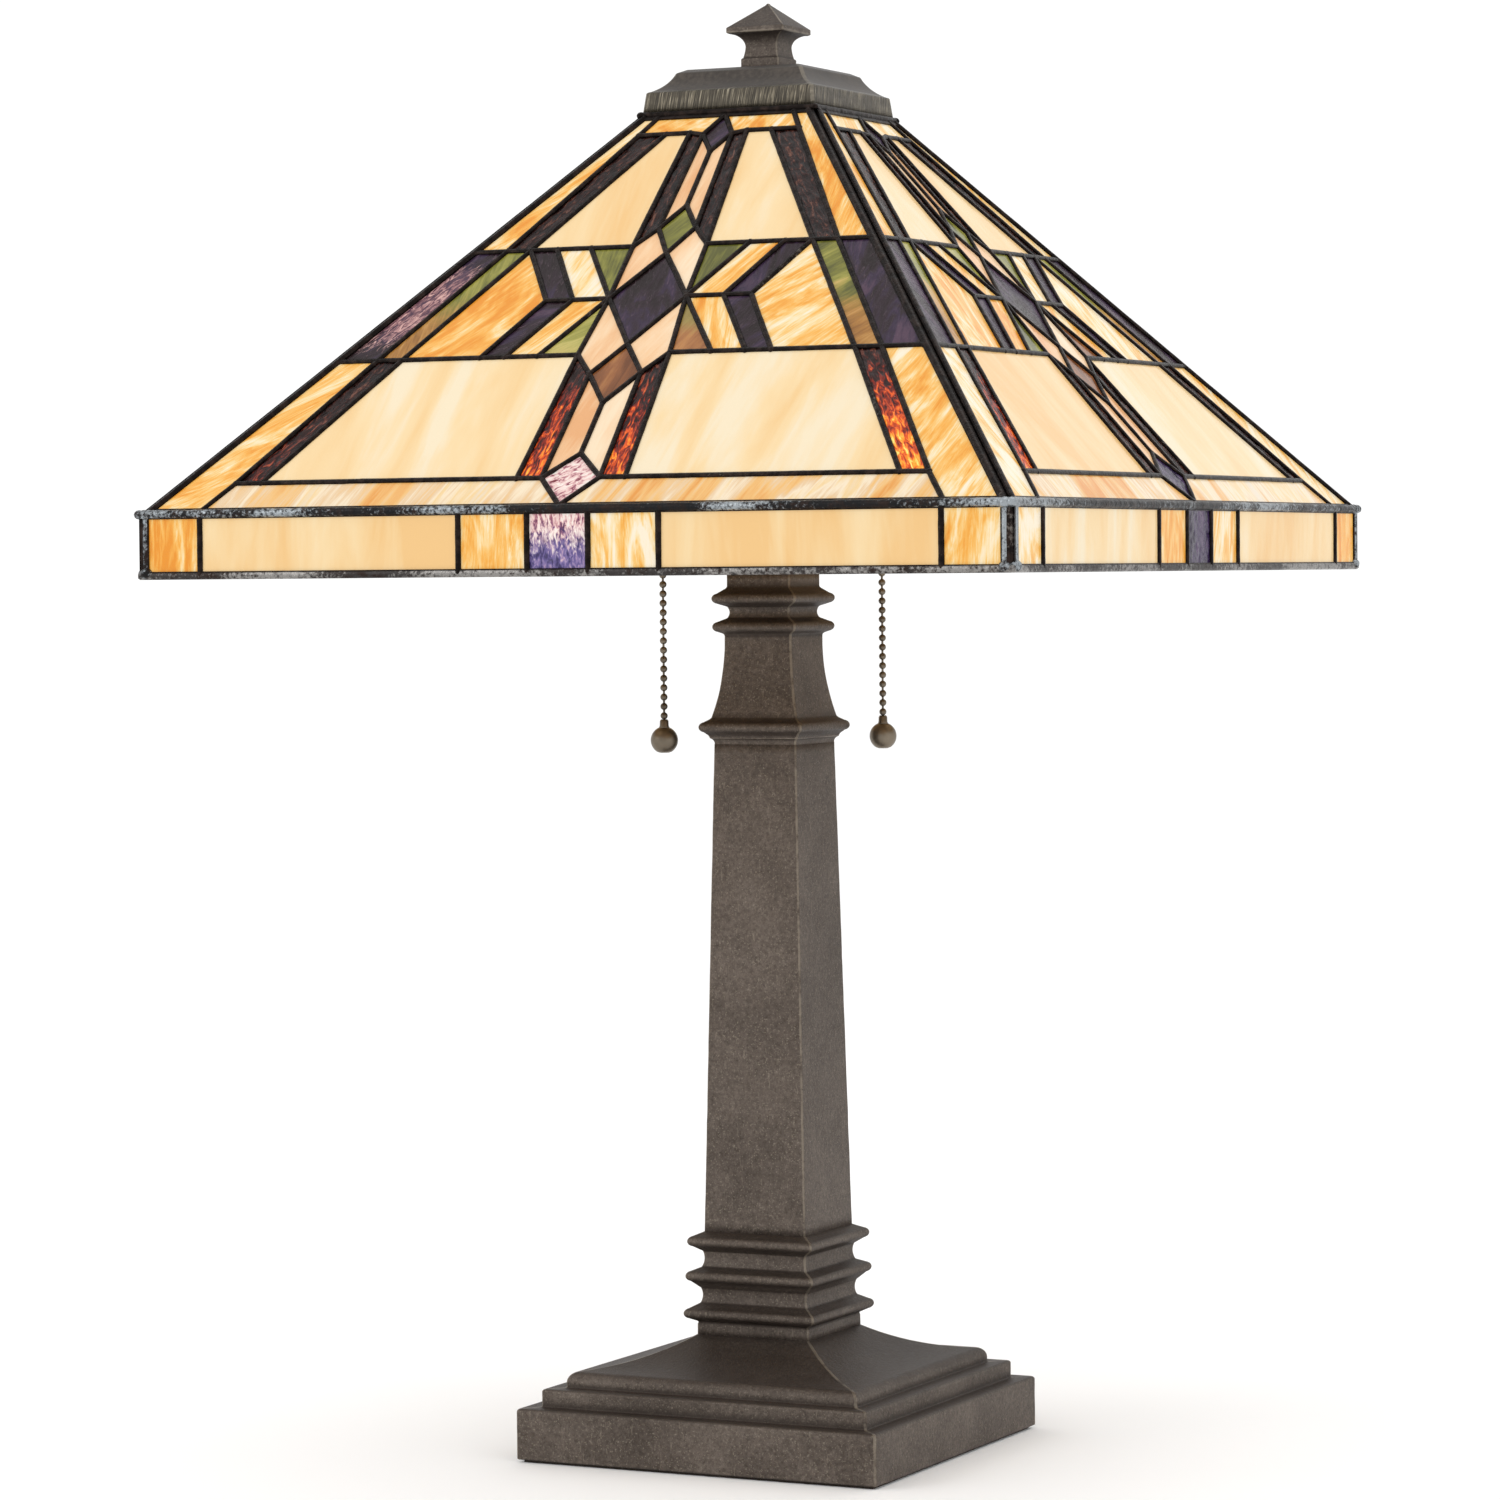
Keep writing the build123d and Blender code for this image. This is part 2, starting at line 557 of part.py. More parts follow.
def make_shade():
    slope_up = Vector(0, SLOPE_RUN, SLOPE_RISE).normalized()
    outward = Vector(1, 0, 0).cross(slope_up)
    slope_plane = Plane(origin=(0, -EAVE_HALF, EAVE_HEIGHT), x_dir=(1, 0, 0), z_dir=outward)
    skirt_plane = Plane(origin=(0, -EAVE_HALF, 0), x_dir=(1, 0, 0), z_dir=(0, -1, 0))
    past_crown = SLOPE_LENGTH + LEAD_THICKNESS + 1
    crown_reach = EAVE_HALF - SLOPE_RUN * past_crown / SLOPE_LENGTH
    slope_outline = [(-EAVE_HALF, 0), (EAVE_HALF, 0), (crown_reach, past_crown), (-crown_reach, past_crown)]
    skirt_corners = [(-1, SKIRT_LOW), (1, SKIRT_LOW), (1, EAVE_HEIGHT), (-1, EAVE_HEIGHT)]
    skirt_outline = [(side * EAVE_HALF, height) for side, height in skirt_corners]

    slope_room = side_wedge(EAVE_HEIGHT, CROWN_HEIGHT)
    skirt_room = side_wedge(SKIRT_LOW, EAVE_HEIGHT)
    slope_lead, slope_panes = leaded_panel(slope_plane, slope_outline, panel_pattern(), slope_room)
    skirt_lead, skirt_panes = leaded_panel(skirt_plane, skirt_outline, skirt_pattern(), skirt_room)
    for side, angle in SIDES.items():
        nodes[side + "_panel_lead"] = Rot(0, 0, angle) * slope_lead
    nodes["skirt_lead"] = all_round(skirt_lead)

    by_colour = {}
    for colour, pane in slope_panes + skirt_panes:
        by_colour.setdefault(colour, []).extend(all_round(pane).solids())
    for colour, panes in by_colour.items():
        nodes[colour + "_glass"] = Compound(panes)

    seam = hip_bar([
        (EAVE_HALF - HIP_GROOVE, EAVE_HEIGHT),
        (CROWN_HALF - HIP_GROOVE, CROWN_HEIGHT),
        (CROWN_HALF - SLAB_INSET, CROWN_HEIGHT),
        (EAVE_HALF - SLAB_INSET, EAVE_HEIGHT),
    ])
    nodes["hip_seams"] = all_round(seam)
    post = hip_bar([
        (EAVE_HALF - HIP_GROOVE / 2, SKIRT_LOW),
        (EAVE_HALF - HIP_GROOVE / 2, EAVE_HEIGHT),
        (EAVE_HALF - LEAD_THICKNESS, EAVE_HEIGHT),
        (EAVE_HALF - LEAD_THICKNESS, SKIRT_LOW),
    ])
    nodes["corner_seams"] = all_round(post)
    rim_outer = EAVE_HALF + RIM_OVERHANG
    rim = mitred_bar([
        (rim_outer, SKIRT_BOTTOM),
        (rim_outer, SKIRT_LOW),
        (rim_outer - RIM_DEPTH, SKIRT_LOW),
        (rim_outer - RIM_DEPTH, SKIRT_BOTTOM),
    ])
    nodes["rim_came"] = all_round(rim)


# ---------------------------------------------------------------- crown, cap and finial
def make_crown():
    ring = square_block(CROWN_HALF - 0.5, CROWN_HEIGHT, CAP_BOTTOM)
    nodes["crown_ring"] = ring - square_block(29.0, CROWN_HEIGHT, CAP_BOTTOM)

    rim_top = 595.0
    cap = square_moulding([
        (41.4, CAP_BOTTOM),
        (40.4, rim_top - 1.0),
        (39.7, rim_top, 0.2),
        (38.8, rim_top + 0.3),
        (30.8, 603.3, -1.0),
        (30.0, 603.9, 0.1),
        (27.2, CAP_TOP),
    ])
    inside = square_moulding([
        (41.4 - CAP_WALL, CAP_BOTTOM),
        (39.0 - CAP_WALL, rim_top - CAP_WALL),
        (27.2 - CAP_WALL, CAP_TOP - CAP_WALL),
    ])
    nodes["shade_cap"] = cap - inside - round_bar(CLEAR_HOLE, CAP_TOP - CAP_WALL, CAP_TOP)
    washer_top = CAP_TOP - CAP_WALL
    washer_low = washer_top - WASHER_THICKNESS
    nodes["shade_seat_washer"] = tube(13.0, CLEAR_HOLE, washer_low, washer_top)
    nodes["shade_lock_nut"] = hex_nut(16.0, washer_low - LOCK_NUT_HEIGHT, washer_low)

    finial = square_moulding([
        (9.2, CAP_TOP),
        (9.2, 610.3),
        (8.5, 611.0, 0.15),
        (8.3, 611.9),
        (7.7, 616.0, -0.1),
        (13.2, 621.4, -1.5),
        (14.0, 621.8),
        (14.0, 623.7),
        (13.5, 624.3, 0.1),
        (0.9, 634.4),
        (0.4, LAMP_HEIGHT, 0.1),
    ])
    nodes["finial"] = finial - round_bar(PIPE_RADIUS + 0.08, CAP_TOP, 618.6)


make_foot()
make_column()
make_cluster()
make_sockets()
make_chains()
make_shade()
make_crown()

os.makedirs("parts", exist_ok=True)
for name, shape in nodes.items():
    export_step(shape, "parts/" + name + ".step")
print(len(nodes), "nodes written")
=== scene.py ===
"""Looks of the square leaded glass table lamp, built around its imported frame.  Metres, +Z up, front at -Y."""
import bmesh
import bpy
import json
import math
import random
from mathutils import Matrix, Vector, geometry, noise

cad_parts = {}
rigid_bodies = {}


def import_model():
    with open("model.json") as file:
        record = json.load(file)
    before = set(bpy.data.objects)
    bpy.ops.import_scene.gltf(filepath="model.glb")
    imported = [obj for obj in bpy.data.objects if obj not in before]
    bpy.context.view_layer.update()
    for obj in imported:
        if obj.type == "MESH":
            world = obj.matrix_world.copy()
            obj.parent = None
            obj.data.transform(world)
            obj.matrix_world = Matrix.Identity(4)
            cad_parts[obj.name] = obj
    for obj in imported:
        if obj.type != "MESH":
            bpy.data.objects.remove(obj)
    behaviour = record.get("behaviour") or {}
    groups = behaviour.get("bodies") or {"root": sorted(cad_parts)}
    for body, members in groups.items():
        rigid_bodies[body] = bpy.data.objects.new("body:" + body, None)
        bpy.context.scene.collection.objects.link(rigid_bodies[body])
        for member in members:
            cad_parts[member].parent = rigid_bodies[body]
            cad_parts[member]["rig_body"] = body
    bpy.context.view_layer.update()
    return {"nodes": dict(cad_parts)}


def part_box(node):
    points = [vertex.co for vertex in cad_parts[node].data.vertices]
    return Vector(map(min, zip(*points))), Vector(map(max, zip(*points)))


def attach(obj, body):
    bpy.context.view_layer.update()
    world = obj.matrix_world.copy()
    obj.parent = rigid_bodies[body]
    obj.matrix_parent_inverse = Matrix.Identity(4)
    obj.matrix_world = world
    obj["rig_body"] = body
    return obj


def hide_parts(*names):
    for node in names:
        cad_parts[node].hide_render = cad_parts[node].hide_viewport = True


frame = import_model()

MM = 0.001
SIDES = ("front", "right", "back", "left")
GLASS_KINDS = ("cream", "amber", "peach", "plum", "green", "honey", "ripple", "mauve", "border")
UP = Vector((0, 0, 1))

# Places that several pieces share, read from the frame
panel_low, panel_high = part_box("front_panel_lead")
skirt_low, skirt_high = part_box("skirt_lead")
rim_low, rim_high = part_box("rim_came")
EAVE_HALF = -panel_low.y
EAVE_HEIGHT = panel_low.z
CROWN_HEIGHT = panel_high.z
SLOPE_RUN = 158.6 * MM
SLOPE_RISE = CROWN_HEIGHT - EAVE_HEIGHT
SLOPE_LENGTH = math.hypot(SLOPE_RUN, SLOPE_RISE)
CROWN_HALF = EAVE_HALF - SLOPE_RUN
MITRE_INSET = EAVE_HALF - panel_high.x
LEAD_HALF_WIDTH = 1.05 * MM
LEAD_DEPTH = 4.6 * MM
GLASS_DEPTH = 0.8 * MM
GLASS_THICKNESS = 3.0 * MM


# ---------------------------------------------------------------- node graphs
def srgb(red, green, blue):
    """Linear colour of a display colour in 0 to 255."""
    def linear(value):
        value /= 255
        return value / 12.92 if value <= 0.04045 else ((value + 0.055) / 1.055) ** 2.4
    return linear(red), linear(green), linear(blue), 1.0


class Field:
    """An output of a node.  Arithmetic on it adds Math nodes."""

    def __init__(self, graph, socket):
        self.graph = graph
        self.socket = socket

    def math(self, operation, first, second=0.0):
        return self.graph.add("ShaderNodeMath", {"operation": operation}, first, second)

    def __add__(self, other):
        return self.math("ADD", self, other)

    def __radd__(self, other):
        return self.math("ADD", other, self)

    def __sub__(self, other):
        return self.math("SUBTRACT", self, other)

    def __rsub__(self, other):
        return self.math("SUBTRACT", other, self)

    def __mul__(self, other):
        return self.math("MULTIPLY", self, other)

    def __rmul__(self, other):
        return self.math("MULTIPLY", other, self)


class Graph:
    """A node tree that is filled by adding nodes."""

    def __init__(self, tree):
        self.tree = tree

    def add(self, kind, settings=None, *values, output=0, **sockets):
        """Add a node: its settings first, then its sockets by place or by name."""
        node = self.tree.nodes.new(kind)
        for key, value in (settings or {}).items():
            if key == "stops":
                self.set_stops(node.color_ramp, value)
            else:
                setattr(node, key, value)
        for place, value in enumerate(values):
            self.plug(node.inputs[place], value)
        for key, value in sockets.items():
            self.plug(node.inputs[key.replace("_", " ")], value)
        return Field(self, node.outputs[output])

    def plug(self, socket, value):
        if isinstance(value, Field):
            self.tree.links.new(value.socket, socket)
        elif value is not None:
            socket.default_value = value

    @staticmethod
    def set_stops(ramp, stops):
        while len(ramp.elements) < len(stops):
            ramp.elements.new(0.5)
        for element, (place, colour) in zip(ramp.elements, stops):
            element.position = place
            element.color = colour

    def stretch(self, vector, amounts):
        return self.add("ShaderNodeVectorMath", {"operation": "MULTIPLY"}, vector, amounts)

    def noise(self, vector, scale, detail=3.0, roughness=0.5, distortion=0.0):
        return self.add("ShaderNodeTexNoise", {}, Vector=vector, Scale=scale, Detail=detail,
                        Roughness=roughness, Distortion=distortion)


class Finish(Graph):
    """A material with one Principled shader."""

    def __init__(self, name):
        self.material = bpy.data.materials.new(name)
        self.material.use_nodes = True
        super().__init__(self.material.node_tree)
        self.shader = self.tree.nodes["Principled BSDF"]

    def place(self):
        return self.add("ShaderNodeTexCoord", {}, output="Object")

    def attribute(self, name, output="Fac"):
        return self.add("ShaderNodeAttribute", {"attribute_name": name}, output=output)

    def ramp(self, factor, *stops):
        return self.add("ShaderNodeValToRGB", {"stops": stops}, factor)

    def mix(self, factor, first, second, mode="MIX"):
        """Colour between two colours."""
        node = self.tree.nodes.new("ShaderNodeMix")
        node.data_type = "RGBA"
        node.blend_type = mode
        self.plug(node.inputs[0], factor)
        self.plug(node.inputs[6], first)
        self.plug(node.inputs[7], second)
        return Field(self, node.outputs[2])

    def band(self, field, low, high):
        """0 below low, 1 above high, smooth between."""
        smooth = {"interpolation_type": "SMOOTHSTEP"}
        return self.add("ShaderNodeMapRange", smooth, field, low, high, 0.0, 1.0)

    def bump(self, height, distance, strength=1.0):
        return self.add("ShaderNodeBump", {}, Height=height, Distance=distance, Strength=strength)

    def surface(self, **sockets):
        for key, value in sockets.items():
            self.plug(self.shader.inputs[key.replace("_", " ")], value)
        return self.material


# ---------------------------------------------------------------- metal finishes
def bronze_finish():
    """Cast metal with a weathered brown bronze paint, rubbed pale at edges and flecked, with painted shade in
    recesses and on sloping faces.
    """
    finish = Finish("weathered_bronze")
    place = finish.place()
    cloud = finish.noise(place, 22.0, 5.0, 0.65)
    grain = finish.noise(place, 520.0, 4.0, 0.75)
    fleck = finish.noise(place, 1250.0, 2.0, 0.7)
    scratch = finish.noise(finish.stretch(place, (900.0, 900.0, 160.0)), 1.0, 2.0, 0.6)
    rub = finish.attribute("rub")
    hollow = finish.attribute("hollow")
    mottle = cloud * 0.45 + grain * 0.55
    base = finish.ramp(mottle, (0.36, srgb(66, 58, 52)), (0.50, srgb(88, 79, 72)), (0.64, srgb(110, 100, 92)))
    base = finish.mix(finish.band(fleck, 0.60, 0.68) * 0.5, base, srgb(150, 141, 126))
    base = finish.mix(finish.band(scratch, 0.64, 0.72) * 0.3, base, srgb(142, 132, 118))
    base = finish.mix(finish.band(1.0 - fleck, 0.60, 0.70) * 0.55, base, srgb(46, 40, 36))
    # Painted shade: darker in recesses and on sloping faces.
    base = finish.mix(hollow * 0.72, base, srgb(47, 39, 34))
    breaks = finish.noise(place, 95.0, 3.0, 0.7)
    worn = finish.band(rub * (breaks * 1.3 + grain * 0.5), 0.55, 0.9)
    base = finish.mix(worn * 0.55, base, srgb(140, 130, 116))
    return finish.surface(
        Base_Color=base,
        Metallic=0.4,
        Specular_IOR_Level=0.2,
        Roughness=0.55 + (grain - 0.5) * 0.3 - worn * 0.1,
        Normal=finish.bump(grain + cloud + fleck * 0.3, 0.0004, 0.75),
    )


def brushed_rim_finish():
    """Cap metal: the rim is scored with fine upright strokes that show paler metal."""
    finish = Finish("brushed_cap")
    place = finish.place()
    around = finish.attribute("around", "Vector")
    cloud = finish.noise(place, 22.0, 4.0, 0.6)
    grain = finish.noise(place, 500.0, 3.0, 0.6)
    strokes = finish.noise(finish.stretch(around, (2100.0, 70.0, 1.0)), 1.0, 2.0, 0.7)
    patches = finish.noise(finish.stretch(around, (90.0, 160.0, 1.0)), 1.0, 2.0, 0.5)
    scored = finish.attribute("scored")
    base = finish.ramp(cloud * 0.5 + grain * 0.5, (0.38, srgb(58, 52, 47)), (0.62, srgb(92, 84, 76)))
    rim = finish.ramp(strokes, (0.34, srgb(40, 36, 30)), (0.48, srgb(72, 66, 55)), (0.58, srgb(112, 104, 88)),
                      (0.68, srgb(168, 158, 138)))
    rim = finish.mix(finish.band(patches, 0.40, 0.62) * 0.55, rim, srgb(66, 60, 50))
    base = finish.mix(scored, base, rim)
    worn = finish.band(finish.attribute("rub") * (0.6 + grain), 0.6, 1.0)
    base = finish.mix(worn * 0.45, base, srgb(150, 142, 128))
    # Painted shade: darker in recesses and on sloping faces.
    base = finish.mix(finish.attribute("hollow") * 0.5, base, srgb(48, 43, 39))
    return finish.surface(
        Base_Color=base,
        Metallic=0.5,
        Roughness=0.5 + (grain - 0.5) * 0.2 - scored * 0.08,
        Normal=finish.bump(grain * 0.5 + cloud + strokes * scored * 1.6, 0.0003, 0.7),
    )


def solder_finish(name, dark, pale, pewter):
    """Soldered lead with a dark patina; pewter says how much bare metal shows through."""
    finish = Finish(name)
    place = finish.place()
    lumps = finish.noise(place, 260.0, 4.0, 0.6)
    drift = finish.noise(place, 22.0, 2.0, 0.55)
    pits = finish.noise(place, 1400.0, 2.0, 0.6)
    crackle = finish.noise(place, 620.0, 3.0, 0.7)
    bare = finish.band(drift * 0.55 + crackle * 0.45, 0.62 - pewter * 0.16, 0.74 - pewter * 0.16)
    base = finish.mix(finish.band(lumps, 0.4, 0.7), dark, srgb(44, 34, 30))
    base = finish.mix(bare, base, pale)
    return finish.surface(
        Base_Color=base,
        Metallic=0.85,
        Specular_IOR_Level=0.3,
        Roughness=0.38 + (pits - 0.5) * 0.3 - bare * 0.08,
        Normal=finish.bump(lumps * 1.4 + pits * 0.35, 0.0005, 0.8),
    )


def plain_metal_finish(name, dark, pale, roughness, scale=300.0):
    """Turned or plated metal with light wear."""
    finish = Finish(name)
    place = finish.place()
    cloud = finish.noise(place, scale * 0.15, 4.0, 0.6)
    grain = finish.noise(place, scale * 3.0, 2.0, 0.6)
    return finish.surface(
        Base_Color=finish.ramp(cloud, (0.3, dark), (0.7, pale)),
        Metallic=0.9,
        Roughness=roughness + (cloud - 0.5) * 0.25,
        Normal=finish.bump(grain, 0.0001, 0.4),
    )


def soft_finish(name, dark, pale, roughness, scale, depth):
    """Felt, rubber, fibre or moulded resin: a mottled matt surface."""
    finish = Finish(name)
    place = finish.place()
    fibre = finish.noise(place, scale, 5.0, 0.7)
    cloud = finish.noise(place, scale * 0.06, 3.0, 0.5)
    return finish.surface(
        Base_Color=finish.ramp(fibre * 0.7 + cloud * 0.3, (0.35, dark), (0.65, pale)),
        Roughness=roughness + (fibre - 0.5) * 0.15,
        Normal=finish.bump(fibre, depth, 0.8),
    )


# ---------------------------------------------------------------- glass finishes
# Emission of the glass: painted glow that stands in for the bulbs' light shining through it.
GLOW = 0.38
REFLECTED = srgb(190, 190, 190)


def sheet_glass(name, stops, along, across, swirl=0.0, fine=0.25, turn_to=None):
    """Opalescent sheet glass, its light from inside the shade painted on as glow.

    Colour bands follow each pane's own grain: along and across are bands per metre.  Where the painted backlight
    "lit" is high the sheet turns to the colours of turn_to.
    """
    finish = Finish(name)
    grain = finish.attribute("grain", "Vector")
    tone = finish.attribute("tone")
    broad = finish.noise(finish.stretch(grain, (along, across, 1.0)), 1.0, 4.0, 0.55, swirl)
    threads = finish.stretch(grain, (along * 2.2, across * 7.0, 1.7))
    threads = finish.noise(threads, 1.0, 4.0, 0.7, swirl * 0.8)
    streak = broad * (1.0 - fine) + threads * fine + (tone - 0.5) * 0.22
    colour = finish.ramp(streak, *stops)
    if turn_to:
        # Painted backlight: the sheet takes its lit colours where the painted "lit" share is high.
        share = finish.band(finish.attribute("lit") + (streak - 0.5) * 1.1, 0.35, 0.75)
        colour = finish.mix(share, colour, finish.ramp(streak, *turn_to))
    waves = finish.noise(finish.stretch(grain, (140.0, 220.0, 1.0)), 1.0, 3.0, 0.5)
    return finish.surface(
        Base_Color=finish.mix(1.0, colour, REFLECTED, "MULTIPLY"),
        Roughness=0.16 + (broad - 0.5) * 0.12,
        Specular_IOR_Level=0.3,
        Emission_Color=colour,
        Emission_Strength=GLOW,
        Normal=finish.bump(waves + threads * 0.3, 0.0002, 0.8),
    )


def ripple_glass():
    """Red-brown rippled glass: dark where no lamp is behind it, with fiery ripples of painted backlight where one is.
    """
    finish = Finish("rippled_glass")
    grain = finish.attribute("grain", "Vector")
    lit = finish.attribute("lit")
    ripples = finish.noise(finish.stretch(grain, (150.0, 480.0, 1.0)), 1.0, 3.0, 0.55, 1.0)
    speck = finish.noise(finish.stretch(grain, (700.0, 1100.0, 1.0)), 1.0, 2.0, 0.6)
    wave = (ripples - 0.5) * 5.0
    dull = finish.ramp(ripples * 0.75 + speck * 0.25, (0.40, srgb(22, 9, 8)), (0.50, srgb(46, 20, 17)),
                       (0.57, srgb(76, 38, 30)), (0.64, srgb(136, 88, 70)))
    ripple_glow_level = lit * 0.72 + wave * 0.40
    lit_ripple_colour = finish.ramp(ripple_glow_level, (0.14, srgb(38, 12, 10)), (0.36, srgb(128, 34, 18)), (0.58, srgb(224, 86, 26)),
                       (0.80, srgb(252, 164, 46)), (1.0, srgb(255, 226, 120)))
    colour = finish.mix(finish.band(lit, 0.03, 0.35), dull, lit_ripple_colour)
    return finish.surface(
        Base_Color=finish.mix(1.0, colour, REFLECTED, "MULTIPLY"),
        Roughness=0.2 + (speck - 0.5) * 0.2,
        Specular_IOR_Level=0.22,
        Emission_Color=finish.mix(finish.band(lit, 0.0, 0.4), srgb(0, 0, 0), colour),
        Emission_Strength=0.6,
        Normal=finish.bump(ripples + speck * 0.15, 0.0006, 0.7),
    )


def plum_glass():
    """Dark purple-brown glass; where the painted backlight "lit" is high it shows mauve lights."""
    finish = Finish("plum_glass")
    grain = finish.attribute("grain", "Vector")
    cast = finish.noise(finish.stretch(grain, (30.0, 90.0, 1.0)), 1.0, 4.0, 0.6, 0.9)
    strokes = finish.noise(finish.stretch(grain, (180.0, 620.0, 1.0)), 1.0, 3.0, 0.65, 1.2)
    deep = finish.ramp(cast, (0.38, srgb(34, 22, 24)), (0.48, srgb(48, 33, 42)), (0.56, srgb(54, 40, 62)),
                       (0.66, srgb(84, 62, 80)))
    lit_plum_colour = finish.ramp(strokes, (0.38, srgb(78, 52, 74)), (0.48, srgb(118, 80, 88)),
                       (0.56, srgb(178, 132, 132)), (0.66, srgb(226, 182, 172)))
    share = finish.band(finish.attribute("lit") * 0.8 + (strokes - 0.5) * 1.5, 0.3, 0.75)
    colour = finish.mix(finish.band(strokes, 0.58, 0.70) * 0.25, deep, srgb(128, 104, 116))
    colour = finish.mix(share, colour, lit_plum_colour)
    return finish.surface(
        Base_Color=finish.mix(1.0, colour, REFLECTED, "MULTIPLY"),
        Roughness=0.16 + (cast - 0.5) * 0.15,
        Specular_IOR_Level=0.22,
        Emission_Color=colour,
        Emission_Strength=GLOW,
        Normal=finish.bump(strokes + cast, 0.0003, 0.7),
    )


def mauve_glass():
    """Iridescent hammered glass, from pink and cream where painted backlight falls to purple."""
    finish = Finish("iridescent_glass")
    grain = finish.attribute("grain", "Vector")
    lit = finish.attribute("lit")
    dimples = finish.add("ShaderNodeTexVoronoi", {"feature": "SMOOTH_F1"},
                         Vector=finish.stretch(grain, (330.0, 330.0, 1.0)), Scale=1.0)
    cast = finish.noise(finish.stretch(grain, (60.0, 120.0, 1.0)), 1.0, 4.0, 0.65, 0.9)
    sparkle = finish.noise(finish.stretch(grain, (260.0, 620.0, 1.0)), 1.0, 3.0, 0.6, 0.8)
    deep = finish.ramp(cast, (0.35, srgb(32, 22, 44)), (0.52, srgb(58, 42, 78)), (0.68, srgb(96, 68, 104)))
    bright = finish.ramp(sparkle * 0.7 + cast * 0.3, (0.38, srgb(124, 44, 56)),
                         (0.44, srgb(176, 112, 128)), (0.49, srgb(238, 192, 188)),
                         (0.55, srgb(252, 228, 220)), (0.64, srgb(255, 250, 240)))
    violet = finish.ramp(sparkle * 0.8 + dimples * 0.3, (0.40, srgb(58, 46, 96)), (0.52, srgb(104, 90, 148)),
                         (0.62, srgb(150, 128, 176)), (0.74, srgb(222, 176, 190)))
    colour = finish.mix(finish.band(lit + (sparkle - 0.5) * 1.2, 0.3, 0.7), violet, bright)
    colour = finish.mix(finish.band(lit, 0.0, 0.05), deep, colour)
    return finish.surface(
        Base_Color=finish.mix(1.0, colour, REFLECTED, "MULTIPLY"),
        Roughness=0.2 + (sparkle - 0.5) * 0.2,
        Specular_IOR_Level=0.35,
        Emission_Color=colour,
        Emission_Strength=0.36,
        Normal=finish.bump(dimples * -1.0 + sparkle * 0.4, 0.0006, 0.8),
    )


def frosted_bulb_finish():
    finish = Finish("frosted_bulb")
    haze = finish.noise(finish.place(), 90.0, 3.0, 0.5)
    glow = finish.ramp(haze, (0.3, srgb(226, 206, 170)), (0.7, srgb(238, 222, 192)))
    return finish.surface(
        Base_Color=glow,
        Roughness=0.35 + haze * 0.1,
        Emission_Color=glow,
        Emission_Strength=0.2,
    )


def threaded_finish():
    """Rolled screw metal: close rings round the bulb base or pipe."""
    finish = Finish("rolled_thread")
    rings = finish.add("ShaderNodeTexWave", {"bands_direction": "Z"}, Vector=finish.place(), Scale=330.0)
    cloud = finish.noise(finish.place(), 60.0, 3.0, 0.5)
    return finish.surface(
        Base_Color=finish.ramp(cloud, (0.3, srgb(140, 134, 122)), (0.7, srgb(186, 180, 168))),
        Metallic=0.9,
        Roughness=0.34 + (cloud - 0.5) * 0.2,
        Normal=finish.bump(rings, 0.0005, 0.8),
    )


def make_glass_finishes():
    white = srgb(254, 240, 214)
    return {
        "cream": sheet_glass("cream_glass", (
            (0.34, srgb(244, 200, 136)), (0.45, srgb(247, 212, 156)), (0.55, srgb(249, 220, 170)),
            (0.66, srgb(248, 231, 198))), 9.0, 40.0, 0.4, 0.1),
        "amber": sheet_glass("amber_glass", (
            (0.36, srgb(238, 152, 48)), (0.44, srgb(248, 180, 80)), (0.50, srgb(251, 202, 120)),
            (0.56, srgb(254, 226, 172)), (0.63, white)), 15.0, 56.0, 3.0, 0.34),
        "peach": sheet_glass("peach_glass", (
            (0.34, srgb(236, 176, 122)), (0.50, srgb(248, 206, 160)), (0.66, srgb(253, 228, 194))),
            16.0, 60.0, 0.5),
        "plum": plum_glass(),
        "green": sheet_glass("green_glass", (
            (0.36, srgb(92, 92, 42)), (0.47, srgb(132, 130, 56)), (0.56, srgb(164, 158, 76)),
            (0.66, srgb(196, 184, 106))), 22.0, 90.0, 0.8, 0.3, turn_to=(
                (0.36, srgb(128, 82, 36)), (0.50, srgb(174, 122, 58)), (0.64, srgb(216, 168, 100)))),
        "honey": sheet_glass("honey_glass", (
            (0.36, srgb(112, 66, 36)), (0.50, srgb(150, 94, 54)), (0.64, srgb(188, 130, 76))),
            22.0, 90.0, 0.6,
            turn_to=((0.36, srgb(96, 84, 40)), (0.50, srgb(132, 114, 56)), (0.64, srgb(160, 140, 78)))),
        "ripple": ripple_glass(),
        "mauve": mauve_glass(),
        "border": sheet_glass("border_glass", (
            (0.34, srgb(234, 158, 74)), (0.41, srgb(244, 194, 122)), (0.46, srgb(238, 206, 164)),
            (0.50, srgb(250, 232, 202)), (0.55, srgb(246, 212, 154)), (0.62, srgb(240, 224, 200))),
            9.0, 40.0, 1.0, 0.22),
    }


# ---------------------------------------------------------------- mesh helpers
def piece_from(name, bm, material, body, slot, *nodes):
    """Finished piece from a bmesh: its material, its body and the nodes it stands for; the slot is not used."""
    mesh = bpy.data.meshes.new(name)
    bm.to_mesh(mesh)
    bm.free()
    return piece_of_mesh(name, mesh, material, body, slot, *nodes)


def piece_of_mesh(name, mesh, material, body, slot, *nodes):
    """Finished piece from a mesh."""
    mesh.name = name
    mesh.materials.clear()
    mesh.materials.append(material)
    for polygon in mesh.polygons:
        polygon.use_smooth = True
    piece = bpy.data.objects.new(name, mesh)
    bpy.context.scene.collection.objects.link(piece)
    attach(piece, body)
    if nodes:
        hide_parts(*nodes)
    return piece


def body_of_node(node):
    return frame["nodes"][node]["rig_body"]


